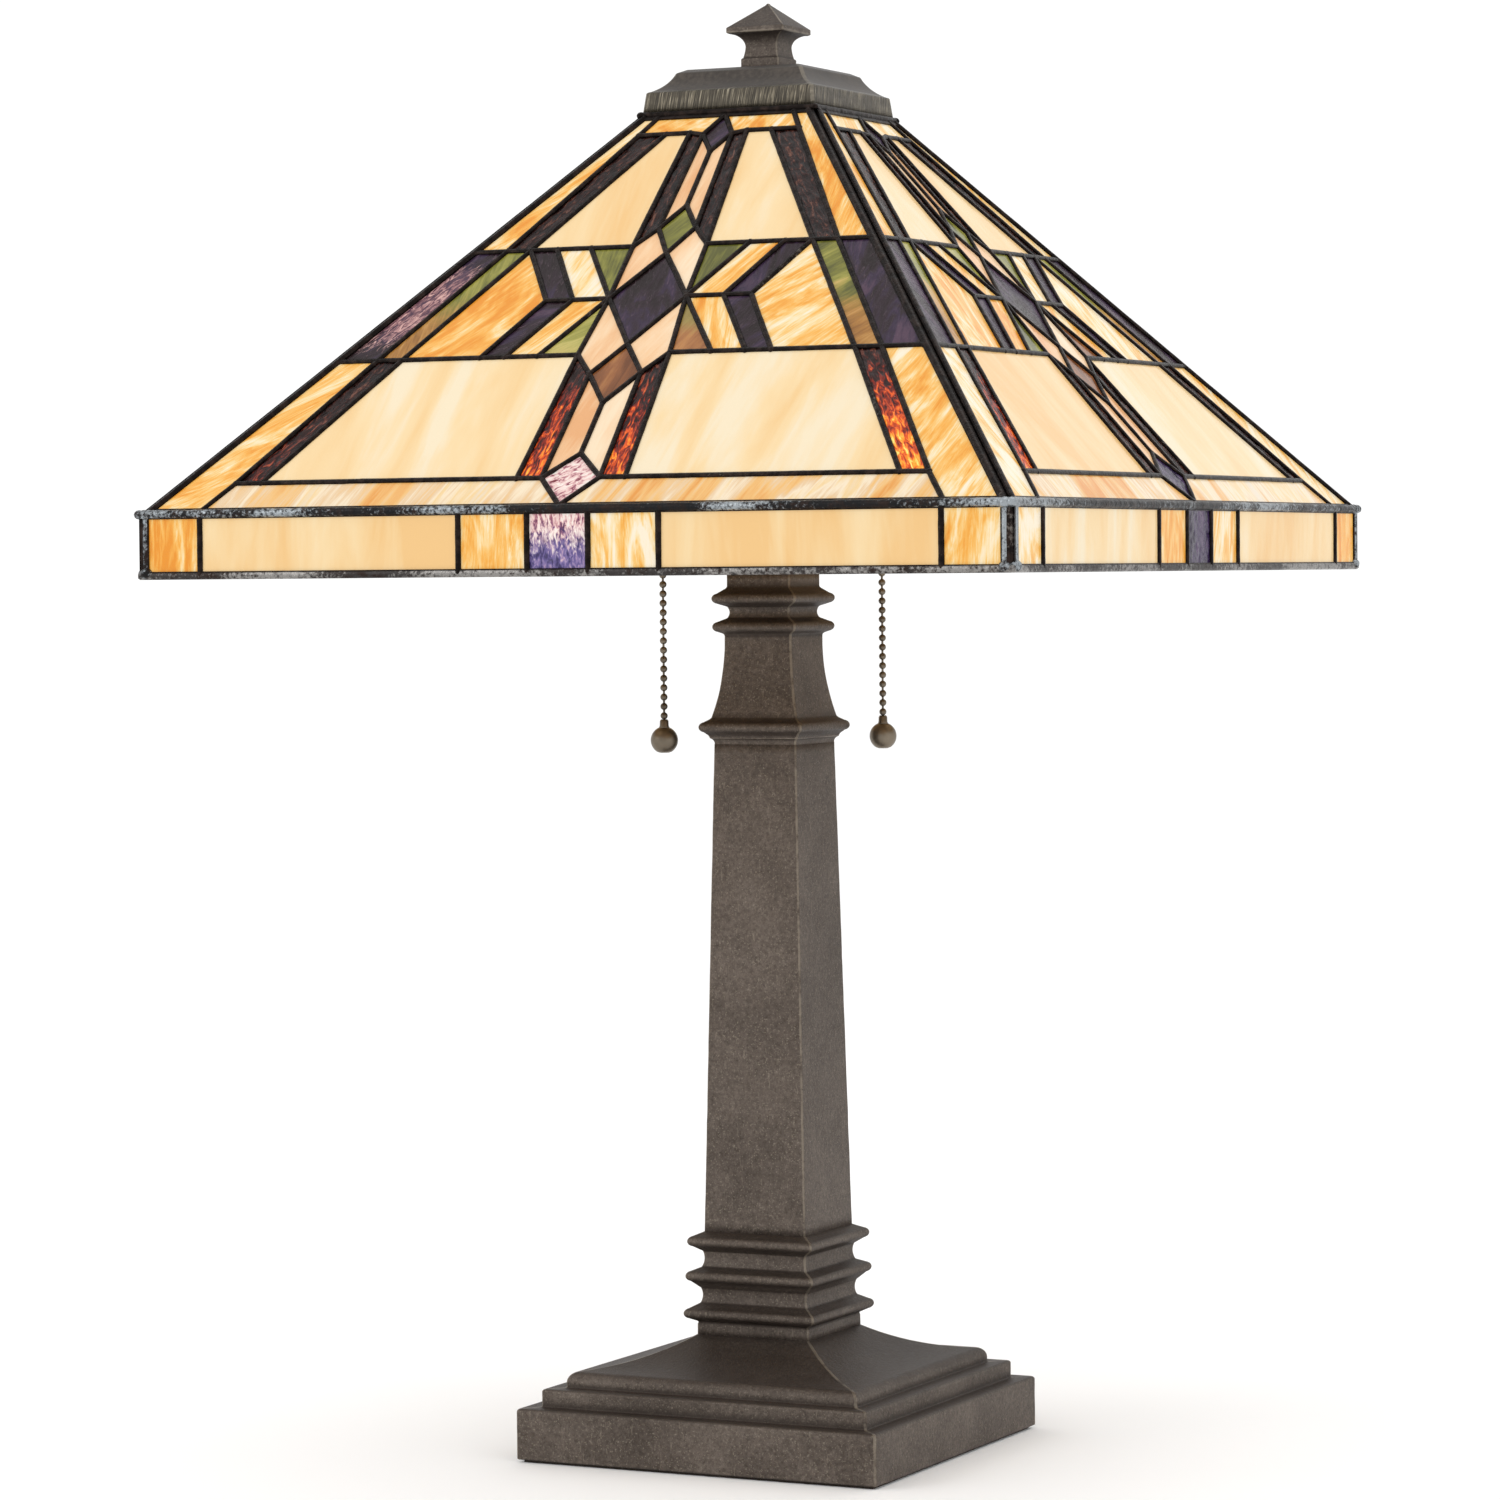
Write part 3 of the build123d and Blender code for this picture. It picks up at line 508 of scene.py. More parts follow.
# ---------------------------------------------------------------- square mouldings
def corner_line(node):
    """The outer mitre of a square moulding, from bottom to top, as (half width, height)."""
    mesh = frame["nodes"][node].data
    tolerance = 2e-5

    def key(vertex):
        return round(vertex.co.x, 6), round(vertex.co.z, 6)

    links = {}
    on_mitre = [v.co.x > tolerance and abs(v.co.x + v.co.y) < tolerance for v in mesh.vertices]
    for edge in mesh.edges:
        first, second = edge.vertices
        if on_mitre[first] and on_mitre[second]:
            a, b = key(mesh.vertices[first]), key(mesh.vertices[second])
            if a != b:
                links.setdefault(a, set()).add(b)
                links.setdefault(b, set()).add(a)
    bottom = min(height for _, height in links)
    here = max(links, key=lambda point: (point[1], point[0]))
    line = [here]

    def inwardness(point):
        """Turn from straight outwards, through straight down, to the way to a point."""
        return math.atan2(here[1] - point[1], point[0] - here[0]) % (2 * math.pi)

    while here[1] > bottom + tolerance:
        here = min((point for point in links[here] if point not in line), key=inwardness)
        line.append(here)
    return line[::-1]


def turn_at(line, index):
    """Signed turn of an outline at a point, positive where it is convex seen from outside."""
    if index in (0, len(line) - 1):
        return math.pi / 2
    come = Vector(line[index]) - Vector(line[index - 1])
    leave = Vector(line[index + 1]) - Vector(line[index])
    return math.atan2(come.x * leave.y - come.y * leave.x, come.dot(leave))


def eased(line, radius, longest):
    """Outline with its sharp corners rounded and its long runs divided: (half, height, turn)."""
    sharp = math.radians(28)
    result = []
    for index, point in enumerate(line):
        here = Vector(point)
        turn = turn_at(line, index)
        if index in (0, len(line) - 1) or abs(turn) < sharp:
            result.append((here.x, here.y, turn if index not in (0, len(line) - 1) else 0.0))
            continue
        before, after = Vector(line[index - 1]), Vector(line[index + 1])
        reach = min(radius * math.tan(abs(turn) / 2), (here - before).length * 0.5,
                    (after - here).length * 0.5)
        start = here + (before - here).normalized() * reach
        end = here + (after - here).normalized() * reach
        for step in range(4):
            t = step / 3
            spot = start * (1 - t) ** 2 + here * 2 * t * (1 - t) + end * t ** 2
            result.append((spot.x, spot.y, turn))
    divided = [result[0]]
    for point in result[1:]:
        last = divided[-1]
        pieces = max(1, math.ceil(math.hypot(point[0] - last[0], point[1] - last[1]) / longest))
        for step in range(1, pieces):
            t = step / pieces
            divided.append((last[0] + (point[0] - last[0]) * t, last[1] + (point[1] - last[1]) * t, 0.0))
        divided.append(point)
    return divided


def square_ring(half, height, corner_radius, side_steps, corner_steps=4):
    """Points round a square with rounded corners: (position, share of corner, distance round)."""
    radius = min(corner_radius, half * 0.6)
    straight = half - radius
    margin = min(0.5 * MM, straight * 0.2)
    reach = straight - margin
    stops = [-straight] + [-reach + 2 * reach * step / side_steps for step in range(side_steps + 1)]
    points = []
    for quarter in range(4):
        turn = Matrix.Rotation(quarter * math.pi / 2, 3, "Z")
        start = quarter * 2 * half
        for x in stops:
            near = 0.5 if x < -reach else 0.0
            points.append((turn @ Vector((x, -half, height)), near, start + x + half))
        for step in range(corner_steps):
            angle = -math.pi / 2 + math.pi / 2 * step / corner_steps
            spot = Vector((straight + radius * math.cos(angle), -straight + radius * math.sin(angle), height))
            points.append((turn @ spot, 1.0, start + half + straight))
    return points


def moulding(name, node, material, slot, corner_radius, profile_radius, wobble, scored=None):
    """Square cast piece on a node's outline, with softened arrises and a hand finished surface."""
    line = eased(corner_line(node), profile_radius, 4 * MM)
    widest = max(half for half, _, _ in line)
    side_steps = max(6, round(2 * widest / (5 * MM)))
    bm = bmesh.new()
    rub_layer = bm.verts.layers.float.new("rub")
    painted_shade_layer = bm.verts.layers.float.new("hollow")
    scored_layer = bm.verts.layers.float.new("scored")
    around_layer = bm.verts.layers.float_vector.new("around")
    rings = []
    for index, (half, height, turn) in enumerate(line):
        ring = []
        below, above = line[max(0, index - 1)], line[min(len(line) - 1, index + 1)]
        slant = math.atan2(below[0] - above[0], above[1] - below[1])
        # Painted shade weight: concave turns of the outline and its sloping faces are marked to be painted darker.
        shaded = min(1.0, max(0.0, -turn) + max(0.0, abs(slant) - 0.2))
        for place, corner, distance in square_ring(half, height, corner_radius, side_steps):
            outward = Vector((place.x, place.y, 0)).normalized()
            shift = noise.noise(place * 90) * 0.6 + noise.noise(place * 260) * 0.4
            edge = max(corner * 0.9, min(1.0, max(0.0, turn) * 1.1))
            vertex = bm.verts.new(place - outward * wobble * (0.5 + shift * (0.5 + edge * 0.8)))
            vertex[rub_layer] = edge
            vertex[painted_shade_layer] = shaded
            vertex[around_layer] = Vector((distance, height, 0))
            if scored:
                vertex[scored_layer] = 1.0 if scored[0] <= height <= scored[1] and half > scored[2] else 0.0
            ring.append(vertex)
        rings.append(ring)
    for low, high in zip(rings, rings[1:]):
        for index in range(len(low)):
            after = (index + 1) % len(low)
            bm.faces.new((low[index], low[after], high[after], high[index]))
    bm.faces.new(rings[0][::-1])
    bm.faces.new(rings[-1])
    return piece_from(name, bm, material, body_of_node(node), slot, node)


# ---------------------------------------------------------------- panes of glass
class Pane:
    """One pane of a glass node: its kind, its side, its plane and its outline in that plane."""

    def __init__(self, kind, face):
        self.kind = kind
        normal = face.normal.copy()
        turns = round((math.atan2(normal.y, normal.x) + math.pi / 2) / (math.pi / 2)) % 4
        self.side = SIDES[turns]
        self.turn = Matrix.Rotation(turns * math.pi / 2, 4, "Z")
        self.skirt = abs(normal.z) < 0.1
        self.plane = self.turn @ (skirt_plane() if self.skirt else slope_plane())
        inverse = self.plane.inverted()
        self.corners = [(inverse @ vertex.co).to_2d() for vertex in face.verts]
        self.centre = sum(self.corners, Vector((0, 0))) / len(self.corners)

    def seed(self, salt):
        """A repeatable random number for this pane."""
        text = f"{salt} {self.side} {self.kind} {self.centre.x:.4f} {self.centre.y:.4f}"
        return random.Random(text)


def slope_plane():
    """Front panel's plane: x to the right, y up the slope, z out of the glass, on the lead's outer face."""
    up_slope = Vector((0, SLOPE_RUN, SLOPE_RISE)).normalized()
    outward = Vector((1, 0, 0)).cross(up_slope)
    return plane_matrix(Vector((0, -EAVE_HALF, EAVE_HEIGHT)), Vector((1, 0, 0)), up_slope, outward)


def skirt_plane():
    return plane_matrix(Vector((0, -EAVE_HALF, 0)), Vector((1, 0, 0)), UP, Vector((0, -1, 0)))


def plane_matrix(origin, right, up, outward):
    matrix = Matrix((right, up, outward)).transposed().to_4x4()
    matrix.translation = origin
    return matrix


def panes_of(kind):
    """The panes in a glass node, from the outward face of each of its solids."""
    bm = bmesh.new()
    bm.from_mesh(frame["nodes"][kind + "_glass"].data)
    bmesh.ops.remove_doubles(bm, verts=bm.verts, dist=2e-6)
    bmesh.ops.dissolve_limit(bm, angle_limit=math.radians(1), verts=bm.verts, edges=bm.edges)
    panes = []
    for face in bm.faces:
        centre = face.calc_center_median()
        outward = Vector((centre.x, centre.y, 0)).normalized()
        flat_out = Vector((face.normal.x, face.normal.y, 0))
        on_panel = face.normal.z > 0.6 and max(abs(flat_out.x), abs(flat_out.y)) > 0.7
        on_skirt = abs(face.normal.z) < 0.01 and is_skirt_front(face, centre)
        if (on_panel or on_skirt) and flat_out.dot(outward) > 0:
            panes.append(Pane(kind, face))
    bm.free()
    return panes


def is_skirt_front(face, centre):
    """True for the broad outward face of a skirt pane, false for its ends."""
    if centre.z > EAVE_HEIGHT:
        return False
    main = max(range(2), key=lambda axis: abs(face.normal[axis]))
    return abs(centre[main]) > EAVE_HALF - 2 * GLASS_DEPTH and face.normal[main] * centre[main] > 0


def offset_outline(corners, gap):
    """Outline with every side moved outwards by gap, or inwards where gap is negative."""
    area = sum(a.x * b.y - b.x * a.y for a, b in zip(corners, corners[1:] + corners[:1]))
    if area < 0:
        corners = corners[::-1]
    moved = []
    for before, here, after in zip(corners[-1:] + corners[:-1], corners, corners[1:] + corners[:1]):
        come = (here - before).normalized()
        leave = (after - here).normalized()
        outward = Vector((come.y + leave.y, -come.x - leave.x))
        moved.append(here + outward * (gap / (1 + come.dot(leave))))
    return moved


def inside(point, corners):
    """True where a point lies within an outline."""
    odd = False
    for a, b in zip(corners, corners[1:] + corners[:1]):
        if (a.y > point.y) != (b.y > point.y):
            if point.x < a.x + (point.y - a.y) * (b.x - a.x) / (b.y - a.y):
                odd = not odd
    return odd


def mesh_outline(corners, spacing):
    """Triangles that fill an outline at about one spacing: (points, faces)."""
    rim = []
    for a, b in zip(corners, corners[1:] + corners[:1]):
        steps = max(1, round((b - a).length / spacing))
        rim += [a.lerp(b, step / steps) for step in range(steps)]
    inner = offset_outline(corners, -spacing * 0.55)
    left, right = min(c.x for c in corners), max(c.x for c in corners)
    low, high = min(c.y for c in corners), max(c.y for c in corners)
    row_height = spacing * math.sqrt(3) / 2
    inner_points = []
    for row in range(math.ceil((high - low) / row_height) + 1):
        shift = spacing / 2 if row % 2 else 0.0
        for column in range(math.ceil((right - left) / spacing) + 1):
            spot = Vector((left + shift + column * spacing, low + row * row_height))
            if inside(spot, inner):
                inner_points.append(spot)
    edges = [(index, (index + 1) % len(rim)) for index in range(len(rim))]
    points, _, faces, *_ = geometry.delaunay_2d_cdt(rim + inner_points, edges, [], 1, 1e-7)
    return points, faces, len(rim)


GRAIN_ANGLES = {"cream": 84, "amber": 62, "peach": 74, "plum": 66, "green": 68, "honey": 60, "border": 78}
PANE_SPACING = {"ripple": 1.3 * MM, "mauve": 1.3 * MM}
PANE_RELIEF = {"ripple": 0.34 * MM, "mauve": 0.30 * MM}


def pane_relief(kind, x, y):
    """Height of a pane's surface at a point along and across its grain."""
    if kind == "ripple":
        broad = noise.noise(Vector((x * 190, y * 420, 3.1)))
        return broad + 0.4 * noise.noise(Vector((x * 480, y * 800, 7.7)))
    if kind == "mauve":
        broad = noise.noise(Vector((x * 380, y * 420, 1.3)))
        return broad + 0.5 * noise.noise(Vector((x * 800, y * 760, 5.9)))
    return noise.noise(Vector((x * 40, y * 60, 2.2)))


def grain_direction(pane, chance):
    """Unit vector of a pane's streaks in its plane."""
    if pane.kind == "ripple" and not pane.skirt:
        sides = [b - a for a, b in zip(pane.corners, pane.corners[1:] + pane.corners[:1])]
        return max(sides, key=lambda run: run.length).normalized()
    spread = {"cream": 5, "border": 8, "peach": 12}.get(pane.kind, 38)
    angle = GRAIN_ANGLES.get(pane.kind, 70) + chance.uniform(-spread, spread)
    if pane.skirt:
        angle = 90 + chance.uniform(-6, 6)
    return Vector((math.cos(math.radians(angle)), math.sin(math.radians(angle))))


def backlight(pane, chance):
    """Painted share of a bulb's light on a clear pane, set by its kind, its side and where it lies, and drawn at
    random for the other panes.
    """
    if pane.kind == "mauve":
        return {"front": 1.0, "right": 0.0, "back": 0.8, "left": 0.3}[pane.side]
    if pane.kind == "plum":
        return 1.0 if pane.side in ("front", "left") and pane.centre.x < -0.07 else 0.0
    if pane.kind == "honey":
        return 0.2 if abs(pane.centre.x) < 0.01 else 0.9
    if pane.kind == "green":
        return 1.0 if abs(pane.centre.x) > 0.07 else 0.3
    if pane.side == "front":
        return 1.0 if pane.centre.x > 0.03 else 0.62 if pane.centre.x > -0.03 else 0.2
    if pane.side == "right":
        return 0.6 if pane.centre.x < -0.03 else 0.08
    return chance.uniform(0.1, 0.9)


def light_behind(pane, spot, strength):
    """Painted light: how brightly a bulb shows through a clear pane at a spot in its plane."""
    if pane.skirt:
        return strength * min(1.0, 0.1 + 30.0 * (spot.y - skirt_low.z))
    if pane.kind == "mauve":
        return strength
    if pane.kind in ("plum", "green", "honey"):
        low, high = min(c.y for c in pane.corners), max(c.y for c in pane.corners)
        share = (spot.y - low) / (high - low)
        return strength * {"plum": 4 * share * (1 - share), "green": 1 - share, "honey": share}[pane.kind]
    fall = 1.0 - spot.y / (0.40 * SLOPE_LENGTH)
    return max(0.0, min(1.0, fall * strength * 1.45))


def add_pane(bm, layers, pane):
    """Add one pane to its kind's mesh: a thin sheet with the surface and the grain of its glass."""
    chance = pane.seed("glass")
    direction = grain_direction(pane, chance)
    across = Vector((-direction.y, direction.x))
    slide = Vector((chance.uniform(-5, 5), chance.uniform(-5, 5)))
    tone = chance.uniform(0.15, 0.85)
    strength = backlight(pane, chance)
    spacing = PANE_SPACING.get(pane.kind, 6 * MM)
    relief = PANE_RELIEF.get(pane.kind, 0.10 * MM)
    points, faces, rim_count = mesh_outline(offset_outline(pane.corners, 0.35 * MM), spacing)
    top, bottom = [], []
    for point in points:
        along = point.dot(direction)
        sideways = point.dot(across)
        height = relief * pane_relief(pane.kind, along + slide.x, sideways + slide.y)
        under = -GLASS_DEPTH - GLASS_THICKNESS + height * 0.4
        for row, depth in ((top, -GLASS_DEPTH + height), (bottom, under)):
            vertex = bm.verts.new(pane.plane @ Vector((point.x, point.y, depth)))
            vertex[layers["grain"]] = Vector((along + slide.x, sideways + slide.y, slide.x * 3))
            vertex[layers["tone"]] = tone
            vertex[layers["lit"]] = light_behind(pane, point, strength)
            row.append(vertex)
    for face in faces:
        bm.faces.new([top[index] for index in face])
        bm.faces.new([bottom[index] for index in reversed(face)])
    for index in range(rim_count):
        after = (index + 1) % rim_count
        side = bm.faces.new((top[index], bottom[index], bottom[after], top[after]))
        for edge in side.edges:
            edge.smooth = False


def make_panes(finishes):
    """All the panes, one piece for each kind of glass."""
    every_pane = []
    for kind in GLASS_KINDS:
        panes = panes_of(kind)
        every_pane += panes
        bm = bmesh.new()
        layers = {
            "grain": bm.verts.layers.float_vector.new("grain"),
            "tone": bm.verts.layers.float.new("tone"),
            "lit": bm.verts.layers.float.new("lit"),
        }
        for pane in panes:
            add_pane(bm, layers, pane)
        bmesh.ops.recalc_face_normals(bm, faces=bm.faces)
        piece_from(kind + "_panes", bm, finishes[kind], "shade", kind + "_glass", kind + "_glass")
    return every_pane


# ---------------------------------------------------------------- solder beads
def new_tree(name, **inputs):
    """Geometry Nodes tree with named inputs, each given as (socket kind, default)."""
    tree = bpy.data.node_groups.new(name, "GeometryNodeTree")
    tree.interface.new_socket("Geometry", in_out="INPUT", socket_type="NodeSocketGeometry")
    for label, (kind, default) in inputs.items():
        socket = tree.interface.new_socket(label.replace("_", " "), in_out="INPUT",
                                           socket_type="NodeSocket" + kind)
        if default is not None:
            socket.default_value = default
    tree.interface.new_socket("Geometry", in_out="OUTPUT", socket_type="NodeSocketGeometry")
    graph = Graph(tree)
    entry = tree.nodes.new("NodeGroupInput")
    return graph, {socket.name: Field(graph, socket) for socket in entry.outputs if socket.name}


def made_real(graph, *parts):
    """Parts joined, with their instances made real."""
    join = graph.tree.nodes.new("GeometryNodeJoinGeometry")
    for part in parts:
        graph.tree.links.new(part.socket, join.inputs[0])
    return graph.add("GeometryNodeRealizeInstances", {}, Field(graph, join.outputs[0]))


def closed_tree(graph, geometry, finish):
    """The tree, with its geometry led out in its finish."""
    shaded = graph.add("GeometryNodeSetMaterial", {}, Geometry=geometry, Material=finish)
    leave = graph.tree.nodes.new("NodeGroupOutput")
    graph.tree.links.new(shaded.socket, leave.inputs[0])
    return graph.tree


def bead_tree():
    """Tree that runs a lumpy round bead along every line of a mesh, with a blob on each joint.

    The points carry a "bead" attribute, the bead's radius there.
    """
    graph, given = new_tree(
        "solder_bead", Step=("Float", 0.002), Wander=("Float", 0.0002), Swell=("Float", 0.2),
        Lumps_per_metre=("Float", 180.0), Blob=("Float", 1.35), Flatten=("Float", 1.0), Sides=("Int", 10),
        Finish=("Material", None))
    place = graph.add("GeometryNodeInputPosition")
    thickness = graph.add("GeometryNodeInputNamedAttribute", {"data_type": "FLOAT"}, "bead")
    lumps = graph.noise(place, given["Lumps per metre"], 2.0, 0.55)
    sway = graph.add("ShaderNodeTexNoise", {}, Vector=place, Scale=given["Lumps per metre"] * 0.35, output=1)
    sway = graph.add("ShaderNodeVectorMath", {"operation": "SUBTRACT"}, sway, (0.5, 0.5, 0.5))
    sway = graph.stretch(sway, (1.0, 1.0, 0.25))
    reach = graph.add("ShaderNodeCombineXYZ", {}, given["Wander"], given["Wander"], given["Wander"])
    sway = graph.stretch(sway, reach)

    lines = graph.add("GeometryNodeMeshToCurve", {}, given["Geometry"])
    lines = graph.add("GeometryNodeResampleCurve", {"mode": "LENGTH"}, Curve=lines, Length=given["Step"])
    lines = graph.add("GeometryNodeSetPosition", {}, Geometry=lines, Offset=sway)
    radius = thickness * (1.0 + (lumps - 0.5) * 2.0 * given["Swell"])
    section = graph.add("GeometryNodeCurvePrimitiveCircle", {}, Resolution=given["Sides"], Radius=1.0)
    beads = graph.add("GeometryNodeCurveToMesh", {}, Curve=lines, Profile_Curve=section, Scale=radius,
                      Fill_Caps=True)

    valence = graph.add("GeometryNodeInputMeshVertexNeighbors")
    is_joint = graph.add("FunctionNodeCompare", {"data_type": "INT", "operation": "NOT_EQUAL"})
    compare = is_joint.socket.node
    whole = [socket for socket in compare.inputs if socket.type == "INT"]
    graph.plug(whole[0], valence)
    whole[1].default_value = 2
    blob = graph.add("GeometryNodeMeshIcoSphere", {}, Radius=1.0, Subdivisions=2)
    wide = thickness * given["Blob"] * (0.85 + lumps * 0.35)
    blobs = graph.add("GeometryNodeInstanceOnPoints", {}, Points=given["Geometry"], Selection=is_joint,
                      Instance=blob, Scale=graph.add("ShaderNodeCombineXYZ", {}, wide, wide, wide * 0.85))
    squash = graph.add("ShaderNodeCombineXYZ", {}, 1.0, 1.0, given["Flatten"])
    flat = graph.add("GeometryNodeSetPosition", {}, Geometry=made_real(graph, beads, blobs),
                     Position=graph.stretch(place, squash))
    return closed_tree(graph, flat, given["Finish"])


def grown(tree, source, **values):
    """Mesh that a tree makes from a source mesh, with its inputs set by name."""
    carrier = bpy.data.objects.new("carrier", source)
    bpy.context.scene.collection.objects.link(carrier)
    modifier = carrier.modifiers.new("grow", "NODES")
    modifier.node_group = tree
    for item in tree.interface.items_tree:
        label = item.name.replace(" ", "_")
        if item.in_out == "INPUT" and label in values:
            modifier[item.identifier] = values[label]
    bpy.context.view_layer.update()
    depsgraph = bpy.context.evaluated_depsgraph_get()
    mesh = bpy.data.meshes.new_from_object(carrier.evaluated_get(depsgraph), depsgraph=depsgraph)
    carrier.modifiers.remove(modifier)
    bpy.data.objects.remove(carrier)
    return mesh


def line_mesh(points, edges, radii):
    """Mesh of loose lines whose points carry the bead's radius."""
    mesh = bpy.data.meshes.new("lines")
    mesh.from_pydata([tuple(point) for point in points], edges, [])
    layer = mesh.attributes.new("bead", "FLOAT", "POINT")
    for index, radius in enumerate(radii):
        layer.data[index].value = radius
    return mesh


def lead_lines(panes):
    """Centre lines of the leads between panes in one plane: (points, edges)."""
    close = 0.7 * MM
    points = []

    def index_of(spot):
        for index, known in enumerate(points):
            if (known - spot).length < close:
                return index
        points.append(spot)
        return len(points) - 1

    outlines = []
    for pane in panes:
        outlines.append([index_of(corner) for corner in offset_outline(pane.corners, LEAD_HALF_WIDTH)])
    owners = {}
    for outline in outlines:
        for first, second in zip(outline, outline[1:] + outline[:1]):
            a, b = points[first], points[second]
            run = b - a
            on_line = [(0.0, first), (1.0, second)]
            for index, spot in enumerate(points):
                along = (spot - a).dot(run) / run.length_squared
                if 0.01 < along < 0.99 and (spot - a - run * along).length < close:
                    on_line.append((along, index))
            stops = [index for _, index in sorted(on_line)]
            for start, end in zip(stops, stops[1:]):
                owners.setdefault(frozenset((start, end)), []).append(outline)
    return points, [tuple(pair) for pair, owned in owners.items() if len(owned) > 1 and len(pair) == 2]


def without_unused(points, edges):
    """Points and edges with the unused points dropped."""
    used = sorted({index for edge in edges for index in edge})
    place = {old: new for new, old in enumerate(used)}
    return [points[old] for old in used], [(place[a], place[b]) for a, b in edges]


def copies(mesh, matrices):
    """One mesh of copies of a mesh."""
    bm = bmesh.new()
    for matrix in matrices:
        part = mesh.copy()
        part.transform(matrix)
        bm.from_mesh(part)
        bpy.data.meshes.remove(part)
    result = bpy.data.meshes.new("copies")
    bm.to_mesh(result)
    bm.free()
    return result


def quarter_turn(index):
    return Matrix.Rotation(index * math.pi / 2, 4, "Z")


def make_leads(panes, tree, finish):
    """Solder beads over the leads of the panels and the skirt, outside and inside."""
    sunk = 0.45 * MM
    pattern_shift = 0.31
    front = [pane for pane in panes if pane.side == "front"]
    for label, group, plane, radius in (
        ("panel_solder", [pane for pane in front if not pane.skirt], slope_plane(), 1.22 * MM),
        ("skirt_solder", [pane for pane in front if pane.skirt], skirt_plane(), 1.35 * MM),
    ):
        points, shared = without_unused(*lead_lines(group))
        lines = line_mesh([(p.x, p.y, 0) for p in points], shared, [radius] * len(points))
        for index, side in enumerate(SIDES):
            shift = Matrix.Translation((pattern_shift * index, 0, 0))
            source = lines.copy()
            source.transform(shift)
            beads = grown(tree, source, Step=2.2 * MM, Wander=0.45 * MM, Swell=0.18, Lumps_per_metre=170.0,
                          Blob=1.25, Flatten=0.7, Sides=10, Finish=finish)
            beads.transform(shift.inverted())
            turned_plane = quarter_turn(index) @ plane
            outside = turned_plane @ Matrix.Translation((0, 0, -sunk))
            within = turned_plane @ Matrix.Translation((0, 0, sunk - LEAD_DEPTH))
            beads = copies(beads, (outside, within))
            piece_of_mesh(side + "_" + label, beads, finish, "shade", "solder")


def bar_mesh(tree, path, radius, finish, **values):
    """Solder bar along a path of points."""
    edges = [(index, index + 1) for index in range(len(path) - 1)]
    return grown(tree, line_mesh(path, edges, [radius] * len(path)), Finish=finish, **values)


def make_edges(tree, dark, bright):
    """Round cames along the hips and corners, the eave seam and the seam under the cap."""
    came = 1.6 * MM
    inset = MITRE_INSET + came * 1.25
    plane = slope_plane()
    foot_s, head_s = 1.5 * MM, SLOPE_LENGTH - 1.0 * MM

    def on_slope(x, s, w=-0.9 * MM):
        return plane @ Vector((x, s, w))

    def hip_x(s):
        return EAVE_HALF - SLOPE_RUN * s / SLOPE_LENGTH - inset

    hips = []
    posts = []
    post_x = EAVE_HALF - inset - 0.4 * MM
    post_y = -EAVE_HALF + 1.0 * MM
    for sign in (-1, 1):
        hip = [on_slope(sign * hip_x(s), s) for s in (foot_s, head_s)]
        hips.append(bar_mesh(tree, hip, came, dark, Step=4 * MM, Wander=0.2 * MM, Swell=0.05, Blob=0.9,
                             Sides=14))
        post = [(sign * post_x, post_y, height) for height in (skirt_low.z, EAVE_HEIGHT)]
        posts.append(bar_mesh(tree, post, 1.45 * MM, bright, Step=2 * MM, Wander=0.3 * MM, Swell=0.12,
                              Blob=1.9, Sides=12))
    piece_of_mesh("hip_came_bars", joined_turns(hips), dark, "shade", "solder")
    piece_of_mesh("corner_came_bars", joined_turns(posts), bright, "shade", "solder")

    eave_reach = EAVE_HALF - MITRE_INSET * 0.5
    eave_path = [(-eave_reach + 2 * eave_reach * step / 40, -EAVE_HALF + 0.7 * MM, EAVE_HEIGHT + 0.3 * MM)
                 for step in range(41)]
    eave = bar_mesh(tree, eave_path, 1.9 * MM, bright, Step=1.6 * MM, Wander=0.6 * MM, Swell=0.2,
                    Lumps_per_metre=260.0, Blob=1.2, Sides=12)
    piece_of_mesh("eave_solder", joined_turns([eave]), bright, "shade", "solder")

    crown_half = CROWN_HALF - 0.4 * MM
    crown_path = [(-crown_half + 2 * crown_half * step / 8, -crown_half, CROWN_HEIGHT - 0.2 * MM)
                  for step in range(9)]
    crown = bar_mesh(tree, crown_path, 1.5 * MM, dark, Step=1.6 * MM, Wander=0.4 * MM, Swell=0.2,
                     Lumps_per_metre=260.0, Blob=1.3, Sides=12)
    piece_of_mesh("crown_solder", joined_turns([crown]), dark, "shade", "solder")


def joined_turns(meshes):
    """Meshes of the front side, repeated on the four sides."""
    bm = bmesh.new()
    for mesh in meshes:
        part = copies(mesh, [quarter_turn(index) for index in range(4)])
        bm.from_mesh(part)
        bpy.data.meshes.remove(part)
    result = bpy.data.meshes.new("turns")
    bm.to_mesh(result)
    bm.free()
    return result


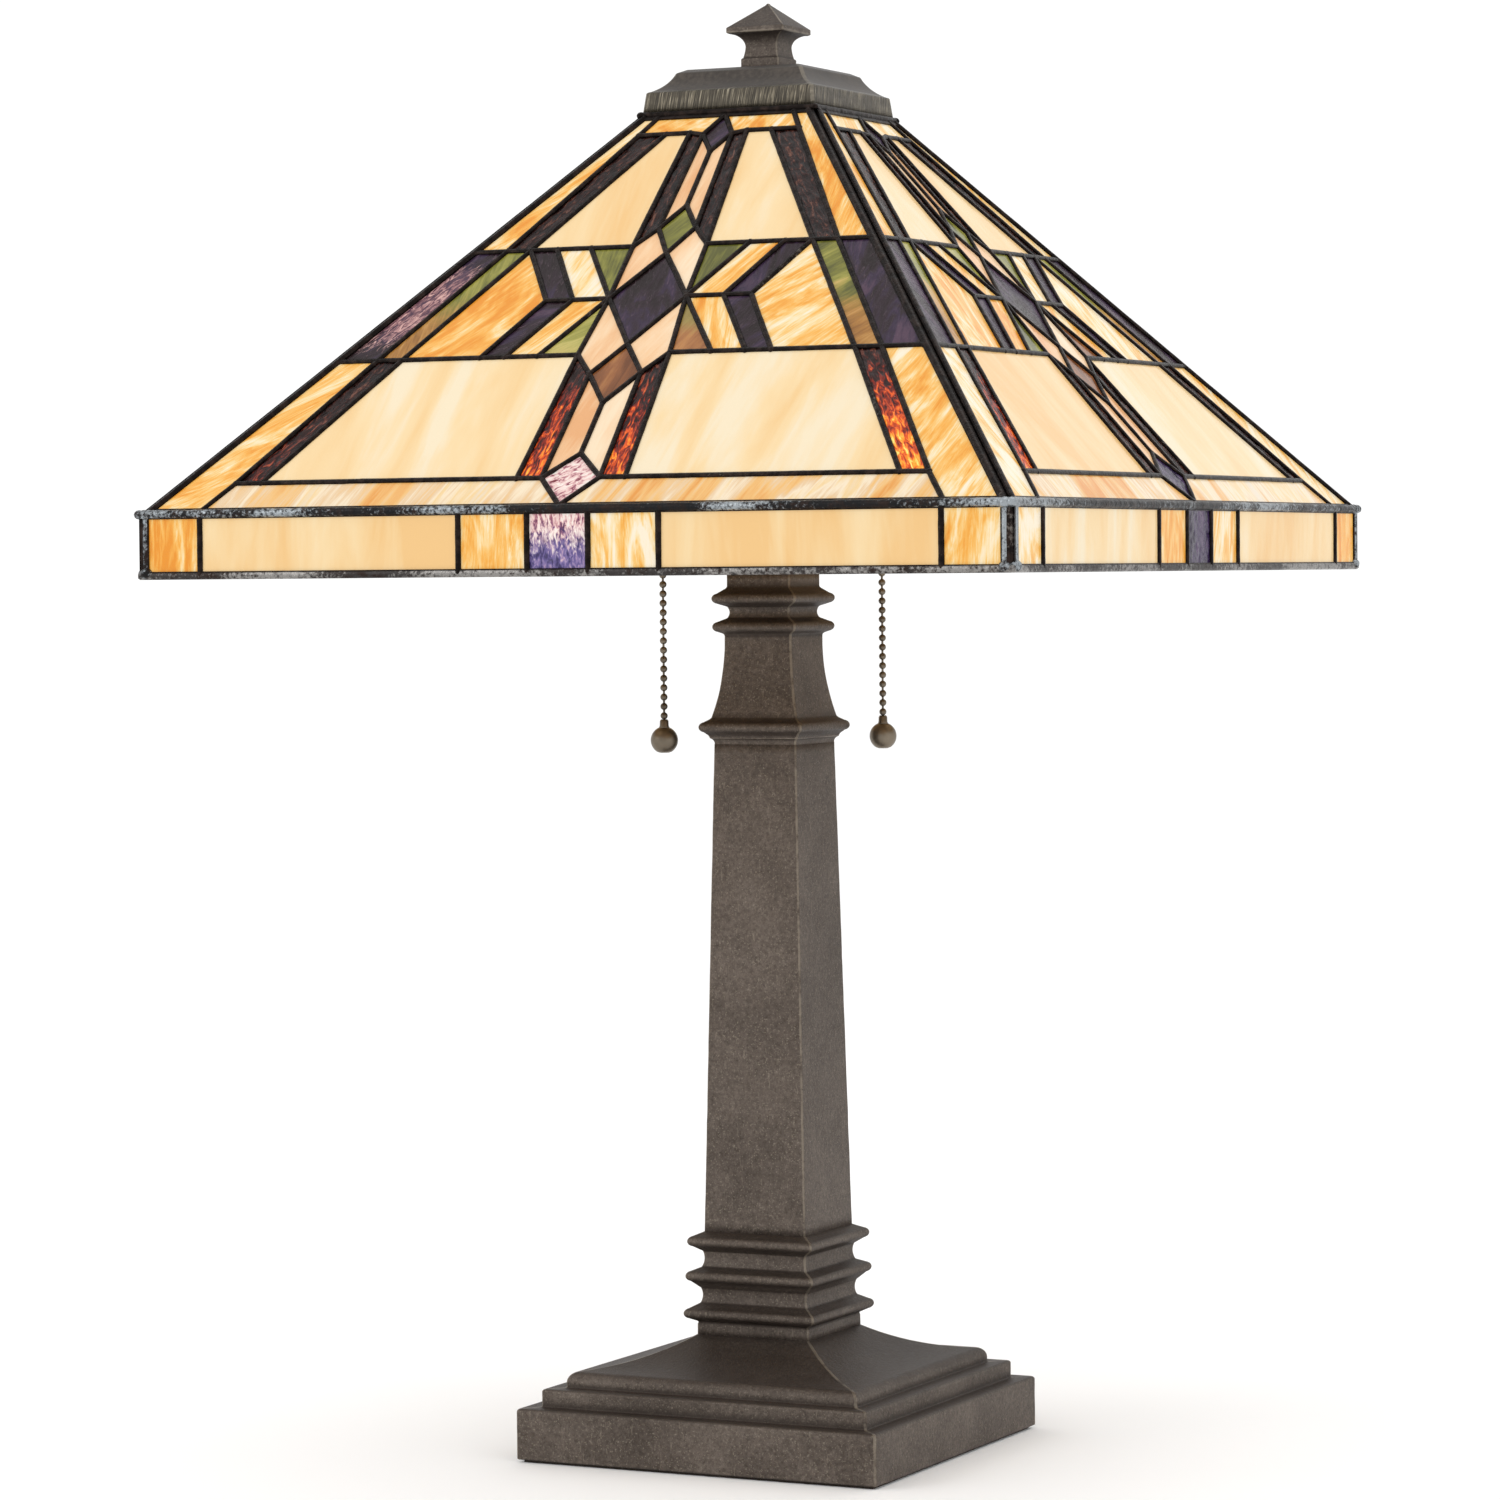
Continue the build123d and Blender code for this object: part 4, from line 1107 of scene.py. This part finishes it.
def make_rim(finish):
    """Folded came round the bottom of the skirt: a square channel with softened edges."""
    outer, inner = rim_high.x, rim_high.x - 5.6 * MM
    low, high = rim_low.z, rim_high.z + 0.6 * MM
    soft = 0.7 * MM
    section = [(outer - soft, low), (outer, low + soft), (outer, high - soft), (outer - soft, high),
               (inner + soft, high), (inner, high - soft), (inner, low + soft), (inner + soft, low)]
    bm = bmesh.new()
    rings = []
    for half, height in section:
        ring = []
        for place, _, _ in square_ring(half, height, 1.6 * MM, 80, 5):
            outward = Vector((place.x, place.y, 0)).normalized()
            dent = noise.noise(place * 120) * 0.22 * MM
            ring.append(bm.verts.new(place + outward * (dent - 0.1 * MM)))
        rings.append(ring)
    for low_ring, high_ring in zip(rings, rings[1:] + rings[:1]):
        for index in range(len(low_ring)):
            after = (index + 1) % len(low_ring)
            bm.faces.new((low_ring[index], low_ring[after], high_ring[after], high_ring[index]))
    bmesh.ops.recalc_face_normals(bm, faces=bm.faces)
    piece_from("rim_channel", bm, finish, "shade", "solder", "rim_came")


# ---------------------------------------------------------------- pull chains
def bead_chain_tree():
    """Tree that strings beads and the short links between them on straight lines."""
    graph, given = new_tree("bead_chain", Bead_radius=("Float", 0.0016), Link_radius=("Float", 0.0005),
                            Finish=("Material", None))
    bead = graph.add("GeometryNodeMeshUVSphere", {}, Segments=18, Rings=12, Radius=given["Bead radius"])
    beads = graph.add("GeometryNodeInstanceOnPoints", {}, Points=given["Geometry"], Instance=bead)
    wire = graph.add("GeometryNodeMeshToCurve", {}, given["Geometry"])
    section = graph.add("GeometryNodeCurvePrimitiveCircle", {}, Resolution=8, Radius=given["Link radius"])
    links = graph.add("GeometryNodeCurveToMesh", {}, Curve=wire, Profile_Curve=section, Fill_Caps=True)
    return closed_tree(graph, made_real(graph, beads, links), given["Finish"])


def make_chains(finish):
    """Bead chains and their end balls, strung where the frame's chains hang."""
    tree = bead_chain_tree()
    pitch = 4.1 * MM
    for side in ("left", "right"):
        for node, label in ((side + "_switch_chain", "switch_beads"), (side + "_pull_chain", "pull_beads")):
            low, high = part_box(node)
            x, y = (low.x + high.x) / 2, (low.y + high.y) / 2
            radius = (high.x - low.x) / 2
            top = high.z - 1.6 * MM
            count = int((top - low.z) / pitch) + 1
            points = [(x, y, top - index * pitch) for index in range(count)]
            edges = [(index, index + 1) for index in range(count - 1)]
            beads = grown(tree, line_mesh(points, edges, [radius] * count), Finish=finish, Bead_radius=1.6 * MM,
                          Link_radius=0.5 * MM)
            piece_of_mesh(side + "_" + label, beads, finish, body_of_node(node), "chain", node)
        make_chain_ball(side, finish)


def make_chain_ball(side, finish):
    """Turned ball with a flat foot and a bell collar over the last bead."""
    node = side + "_chain_ball"
    low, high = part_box(node)
    x, y = (low.x + high.x) / 2, (low.y + high.y) / 2
    radius = (high.x - low.x) / 2
    centre = low.z - 0.5 * MM + radius
    outline = [(0.0, low.z), (radius * 0.34, low.z), (radius * 0.44, low.z + 0.25 * MM)]
    for step in range(1, 25):
        angle = -math.pi / 2 + 0.46 + (math.pi - 0.8) * step / 24
        outline.append((radius * math.cos(angle), centre + radius * math.sin(angle)))
    collar = high.z - 3.4 * MM
    outline += [(2.1 * MM, collar), (2.3 * MM, collar + 0.8 * MM), (2.0 * MM, collar + 1.4 * MM),
                (1.9 * MM, high.z + 0.2 * MM), (1.4 * MM, high.z + 0.9 * MM), (0.0, high.z + 0.9 * MM)]
    bm = spun(outline, 32)
    bmesh.ops.translate(bm, verts=bm.verts, vec=(x, y, 0))
    piece_from(side + "_pull_ball", bm, finish, body_of_node(node), "chain", node)


def spun(outline, steps):
    """Closed shape of revolution about Z from an outline of (radius, height)."""
    bm = bmesh.new()
    rings = []
    for radius, height in outline:
        if radius < 1e-6:
            rings.append([bm.verts.new((0, 0, height))])
            continue
        rings.append([bm.verts.new((radius * math.cos(2 * math.pi * step / steps),
                                    radius * math.sin(2 * math.pi * step / steps), height)) for step in range(steps)])
    for low, high in zip(rings, rings[1:]):
        for index in range(steps):
            after = (index + 1) % steps
            corners = [low[index % len(low)], low[after % len(low)],
                       high[after % len(high)], high[index % len(high)]]
            distinct = list(dict.fromkeys(corners))
            if len(distinct) > 2:
                bm.faces.new(distinct)
    bmesh.ops.recalc_face_normals(bm, faces=bm.faces)
    return bm


# ---------------------------------------------------------------- bulbs and hardware
def make_bulbs(finish):
    """Frosted pear bulbs lying in their sockets."""
    for side in ("left", "right"):
        node = side + "_bulb_glass"
        low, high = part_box(node)
        middle = (low + high) / 2
        direction = Vector((middle.x, middle.y, 0)).normalized()
        ball = (high.z - low.z) / 2
        end = 162.0 * MM
        centre = end - ball
        shoulder = centre - 9 * MM
        neck_start, neck_end, neck = 80.5 * MM, 81.7 * MM, 13.2 * MM
        outline = [(0.0, neck_start), (neck * 0.92, neck_start), (neck, neck_end)]
        for step in range(1, 9):
            t = step / 8
            ease = t * t * (3 - 2 * t)
            width = neck + (ball * 0.955 - neck) * ease * 0.98
            outline.append((width, neck_end + (shoulder - neck_end) * t))
        for step in range(20):
            angle = math.radians(107 - 107 * step / 19)
            outline.append((ball * math.sin(angle), centre + ball * math.cos(angle)))
        outline[-1] = (0.0, end)
        bm = spun(outline, 48)
        turn = Matrix.Translation((0, 0, middle.z)) @ UP.rotation_difference(direction).to_matrix().to_4x4()
        bm.transform(turn)
        piece_from(side + "_bulb_envelope", bm, finish, body_of_node(node), "bulb", node)


def dress_nodes(finishes):
    """Finishes for the frame's own nodes that stay in view."""
    dressed = {
        "solder": [side + "_panel_lead" for side in SIDES] + ["skirt_lead", "hip_seams", "corner_seams",
                                                              "crown_ring"],
        "zinc": ["bottom_nut", "bottom_washer", "socket_nipples", "shade_lock_nut",
                 "shade_seat_washer", "cluster_nut"],
        "bronze": ["column_top_washer", "cluster_spacer", "cluster_body", "cluster_cover"],
        "brass": ["chain_guides"] + [side + "_socket_" + part for side in ("left", "right")
                                     for part in ("cap", "shell")],
        "thread": ["threaded_pipe"] + [side + part for side in ("left", "right")
                                       for part in ("_socket_screw_shell", "_bulb_base")],
        "resin": [side + "_socket_switch" for side in ("left", "right")],
        "fibre": ["socket_liners"],
        "felt": ["felt_pad"],
        "iron": ["base_weight"],
        "rubber": ["cord_bushing"],
    }
    for label, names in dressed.items():
        for name in names:
            node = frame["nodes"][name]
            node.data.materials.clear()
            node.data.materials.append(finishes[label])


# ---------------------------------------------------------------- studio
def make_floor():
    bm = bmesh.new()
    bmesh.ops.create_grid(bm, x_segments=2, y_segments=2, size=12)
    mesh = bpy.data.meshes.new("studio_floor")
    bm.to_mesh(mesh)
    bm.free()
    finish = Finish("studio_floor")
    tint = finish.noise(finish.place(), 3.0, 2.0)
    mesh.materials.append(finish.surface(Base_Color=finish.ramp(tint, (0.3, srgb(251, 251, 251)),
                                                                (0.7, srgb(253, 253, 253))), Roughness=0.9))
    floor = bpy.data.objects.new("studio_floor", mesh)
    bpy.context.scene.collection.objects.link(floor)


def soft_light(name, place, target, size, power):
    data = bpy.data.lights.new(name, "AREA")
    data.shape = "RECTANGLE"
    data.size, data.size_y = size
    data.energy = power
    light = bpy.data.objects.new(name, data)
    light.location = place
    light.rotation_euler = (Vector(target) - Vector(place)).to_track_quat("-Z", "Y").to_euler()
    bpy.context.scene.collection.objects.link(light)


def make_studio():
    make_floor()
    world = bpy.data.worlds.new("studio")
    world.use_nodes = True
    world.node_tree.nodes["Background"].inputs["Color"].default_value = (1, 1, 1, 1)
    world.node_tree.nodes["Background"].inputs["Strength"].default_value = 1.07
    bpy.context.scene.world = world
    bpy.context.scene.view_settings.view_transform = "Standard"
    target = (0, 0, 0.35)
    soft_light("key", (-1.6, -1.9, 1.5), target, (1.4, 1.6), 12)
    soft_light("fill", (2.2, -1.0, 0.9), target, (1.2, 1.6), 3)
    soft_light("top", (0.2, 0.3, 2.4), target, (1.6, 1.6), 5)


def make_camera():
    """Camera a little to the right of the front, level with the middle of the lamp."""
    azimuth, distance, height = math.radians(25.85), 2.251, 0.386
    pitch, roll, pan = math.radians(1.99), math.radians(-0.491), math.radians(-0.276)
    forward = Vector((-math.sin(azimuth), math.cos(azimuth), 0))
    right = Vector((math.cos(azimuth), math.sin(azimuth), 0))
    forward = forward * math.cos(pitch) - UP * math.sin(pitch)
    up = right.cross(forward)
    forward = forward * math.cos(pan) + right * math.sin(pan)
    right = forward.cross(up).normalized()
    tilted_right = right * math.cos(roll) + up * math.sin(roll)
    tilted_up = up * math.cos(roll) - right * math.sin(roll)
    data = bpy.data.cameras.new("camera")
    data.lens = 122.7
    data.sensor_width = 36
    camera = bpy.data.objects.new("camera", data)
    matrix = Matrix((tilted_right, tilted_up, -forward)).transposed().to_4x4()
    matrix.translation = Vector((math.sin(azimuth) * distance, -math.cos(azimuth) * distance, height))
    camera.matrix_world = matrix
    bpy.context.scene.collection.objects.link(camera)
    bpy.context.scene.camera = camera


# ---------------------------------------------------------------- the lamp
def make_metalwork(bronze, cap_finish):
    moulding("cast_foot", "base_casting", bronze, "bronze", 1.0 * MM, 0.8 * MM, 0.12 * MM)
    moulding("ringed_collar", "column_foot", bronze, "bronze", 0.8 * MM, 1.5 * MM, 0.14 * MM)
    moulding("tapered_column", "column_shaft", bronze, "bronze", 0.7 * MM, 0.5 * MM, 0.14 * MM)
    moulding("moulded_capital", "column_capital", bronze, "bronze", 0.8 * MM, 1.5 * MM, 0.14 * MM)
    cap_low, cap_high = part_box("shade_cap")
    scored = (cap_low.z, cap_low.z + 0.48 * (cap_high.z - cap_low.z), 0.0375)
    moulding("square_cap", "shade_cap", cap_finish, "bronze", 1.4 * MM, 0.6 * MM, 0.10 * MM, scored)
    moulding("roofed_finial", "finial", bronze, "bronze", 0.5 * MM, 0.5 * MM, 0.06 * MM)


def main():
    glass = make_glass_finishes()
    bronze = bronze_finish()
    dark_solder = solder_finish("dark_solder", srgb(20, 15, 13), srgb(104, 98, 92), 0.0)
    bright_solder = solder_finish("pewter_solder", srgb(30, 30, 31), srgb(150, 156, 160), 0.75)
    rim_came = solder_finish("rim_came", srgb(58, 55, 54), srgb(138, 135, 132), 0.9)
    panes = make_panes(glass)
    tree = bead_tree()
    make_leads(panes, tree, dark_solder)
    make_edges(tree, dark_solder, bright_solder)
    make_rim(rim_came)
    make_metalwork(bronze, brushed_rim_finish())
    make_chains(plain_metal_finish("antique_chain", srgb(84, 76, 66), srgb(126, 116, 102), 0.38))
    make_bulbs(frosted_bulb_finish())
    dress_nodes({
        "solder": dark_solder,
        "zinc": plain_metal_finish("zinc_plate", srgb(150, 146, 138), srgb(190, 186, 178), 0.35),
        "bronze": bronze,
        "brass": plain_metal_finish("satin_brass", srgb(168, 132, 74), srgb(206, 168, 100), 0.32),
        "thread": threaded_finish(),
        "resin": soft_finish("moulded_resin", srgb(28, 24, 22), srgb(44, 38, 34), 0.45, 400.0, 0.0001),
        "fibre": soft_finish("pressed_fibre", srgb(130, 104, 72), srgb(168, 138, 100), 0.8, 900.0, 0.0002),
        "felt": soft_finish("brown_felt", srgb(38, 32, 28), srgb(66, 56, 48), 0.95, 1500.0, 0.0004),
        "iron": soft_finish("rough_iron", srgb(38, 38, 38), srgb(70, 66, 62), 0.7, 300.0, 0.0004),
        "rubber": soft_finish("black_rubber", srgb(20, 19, 18), srgb(34, 32, 30), 0.6, 700.0, 0.0001),
    })
    make_studio()
    make_camera()


main()
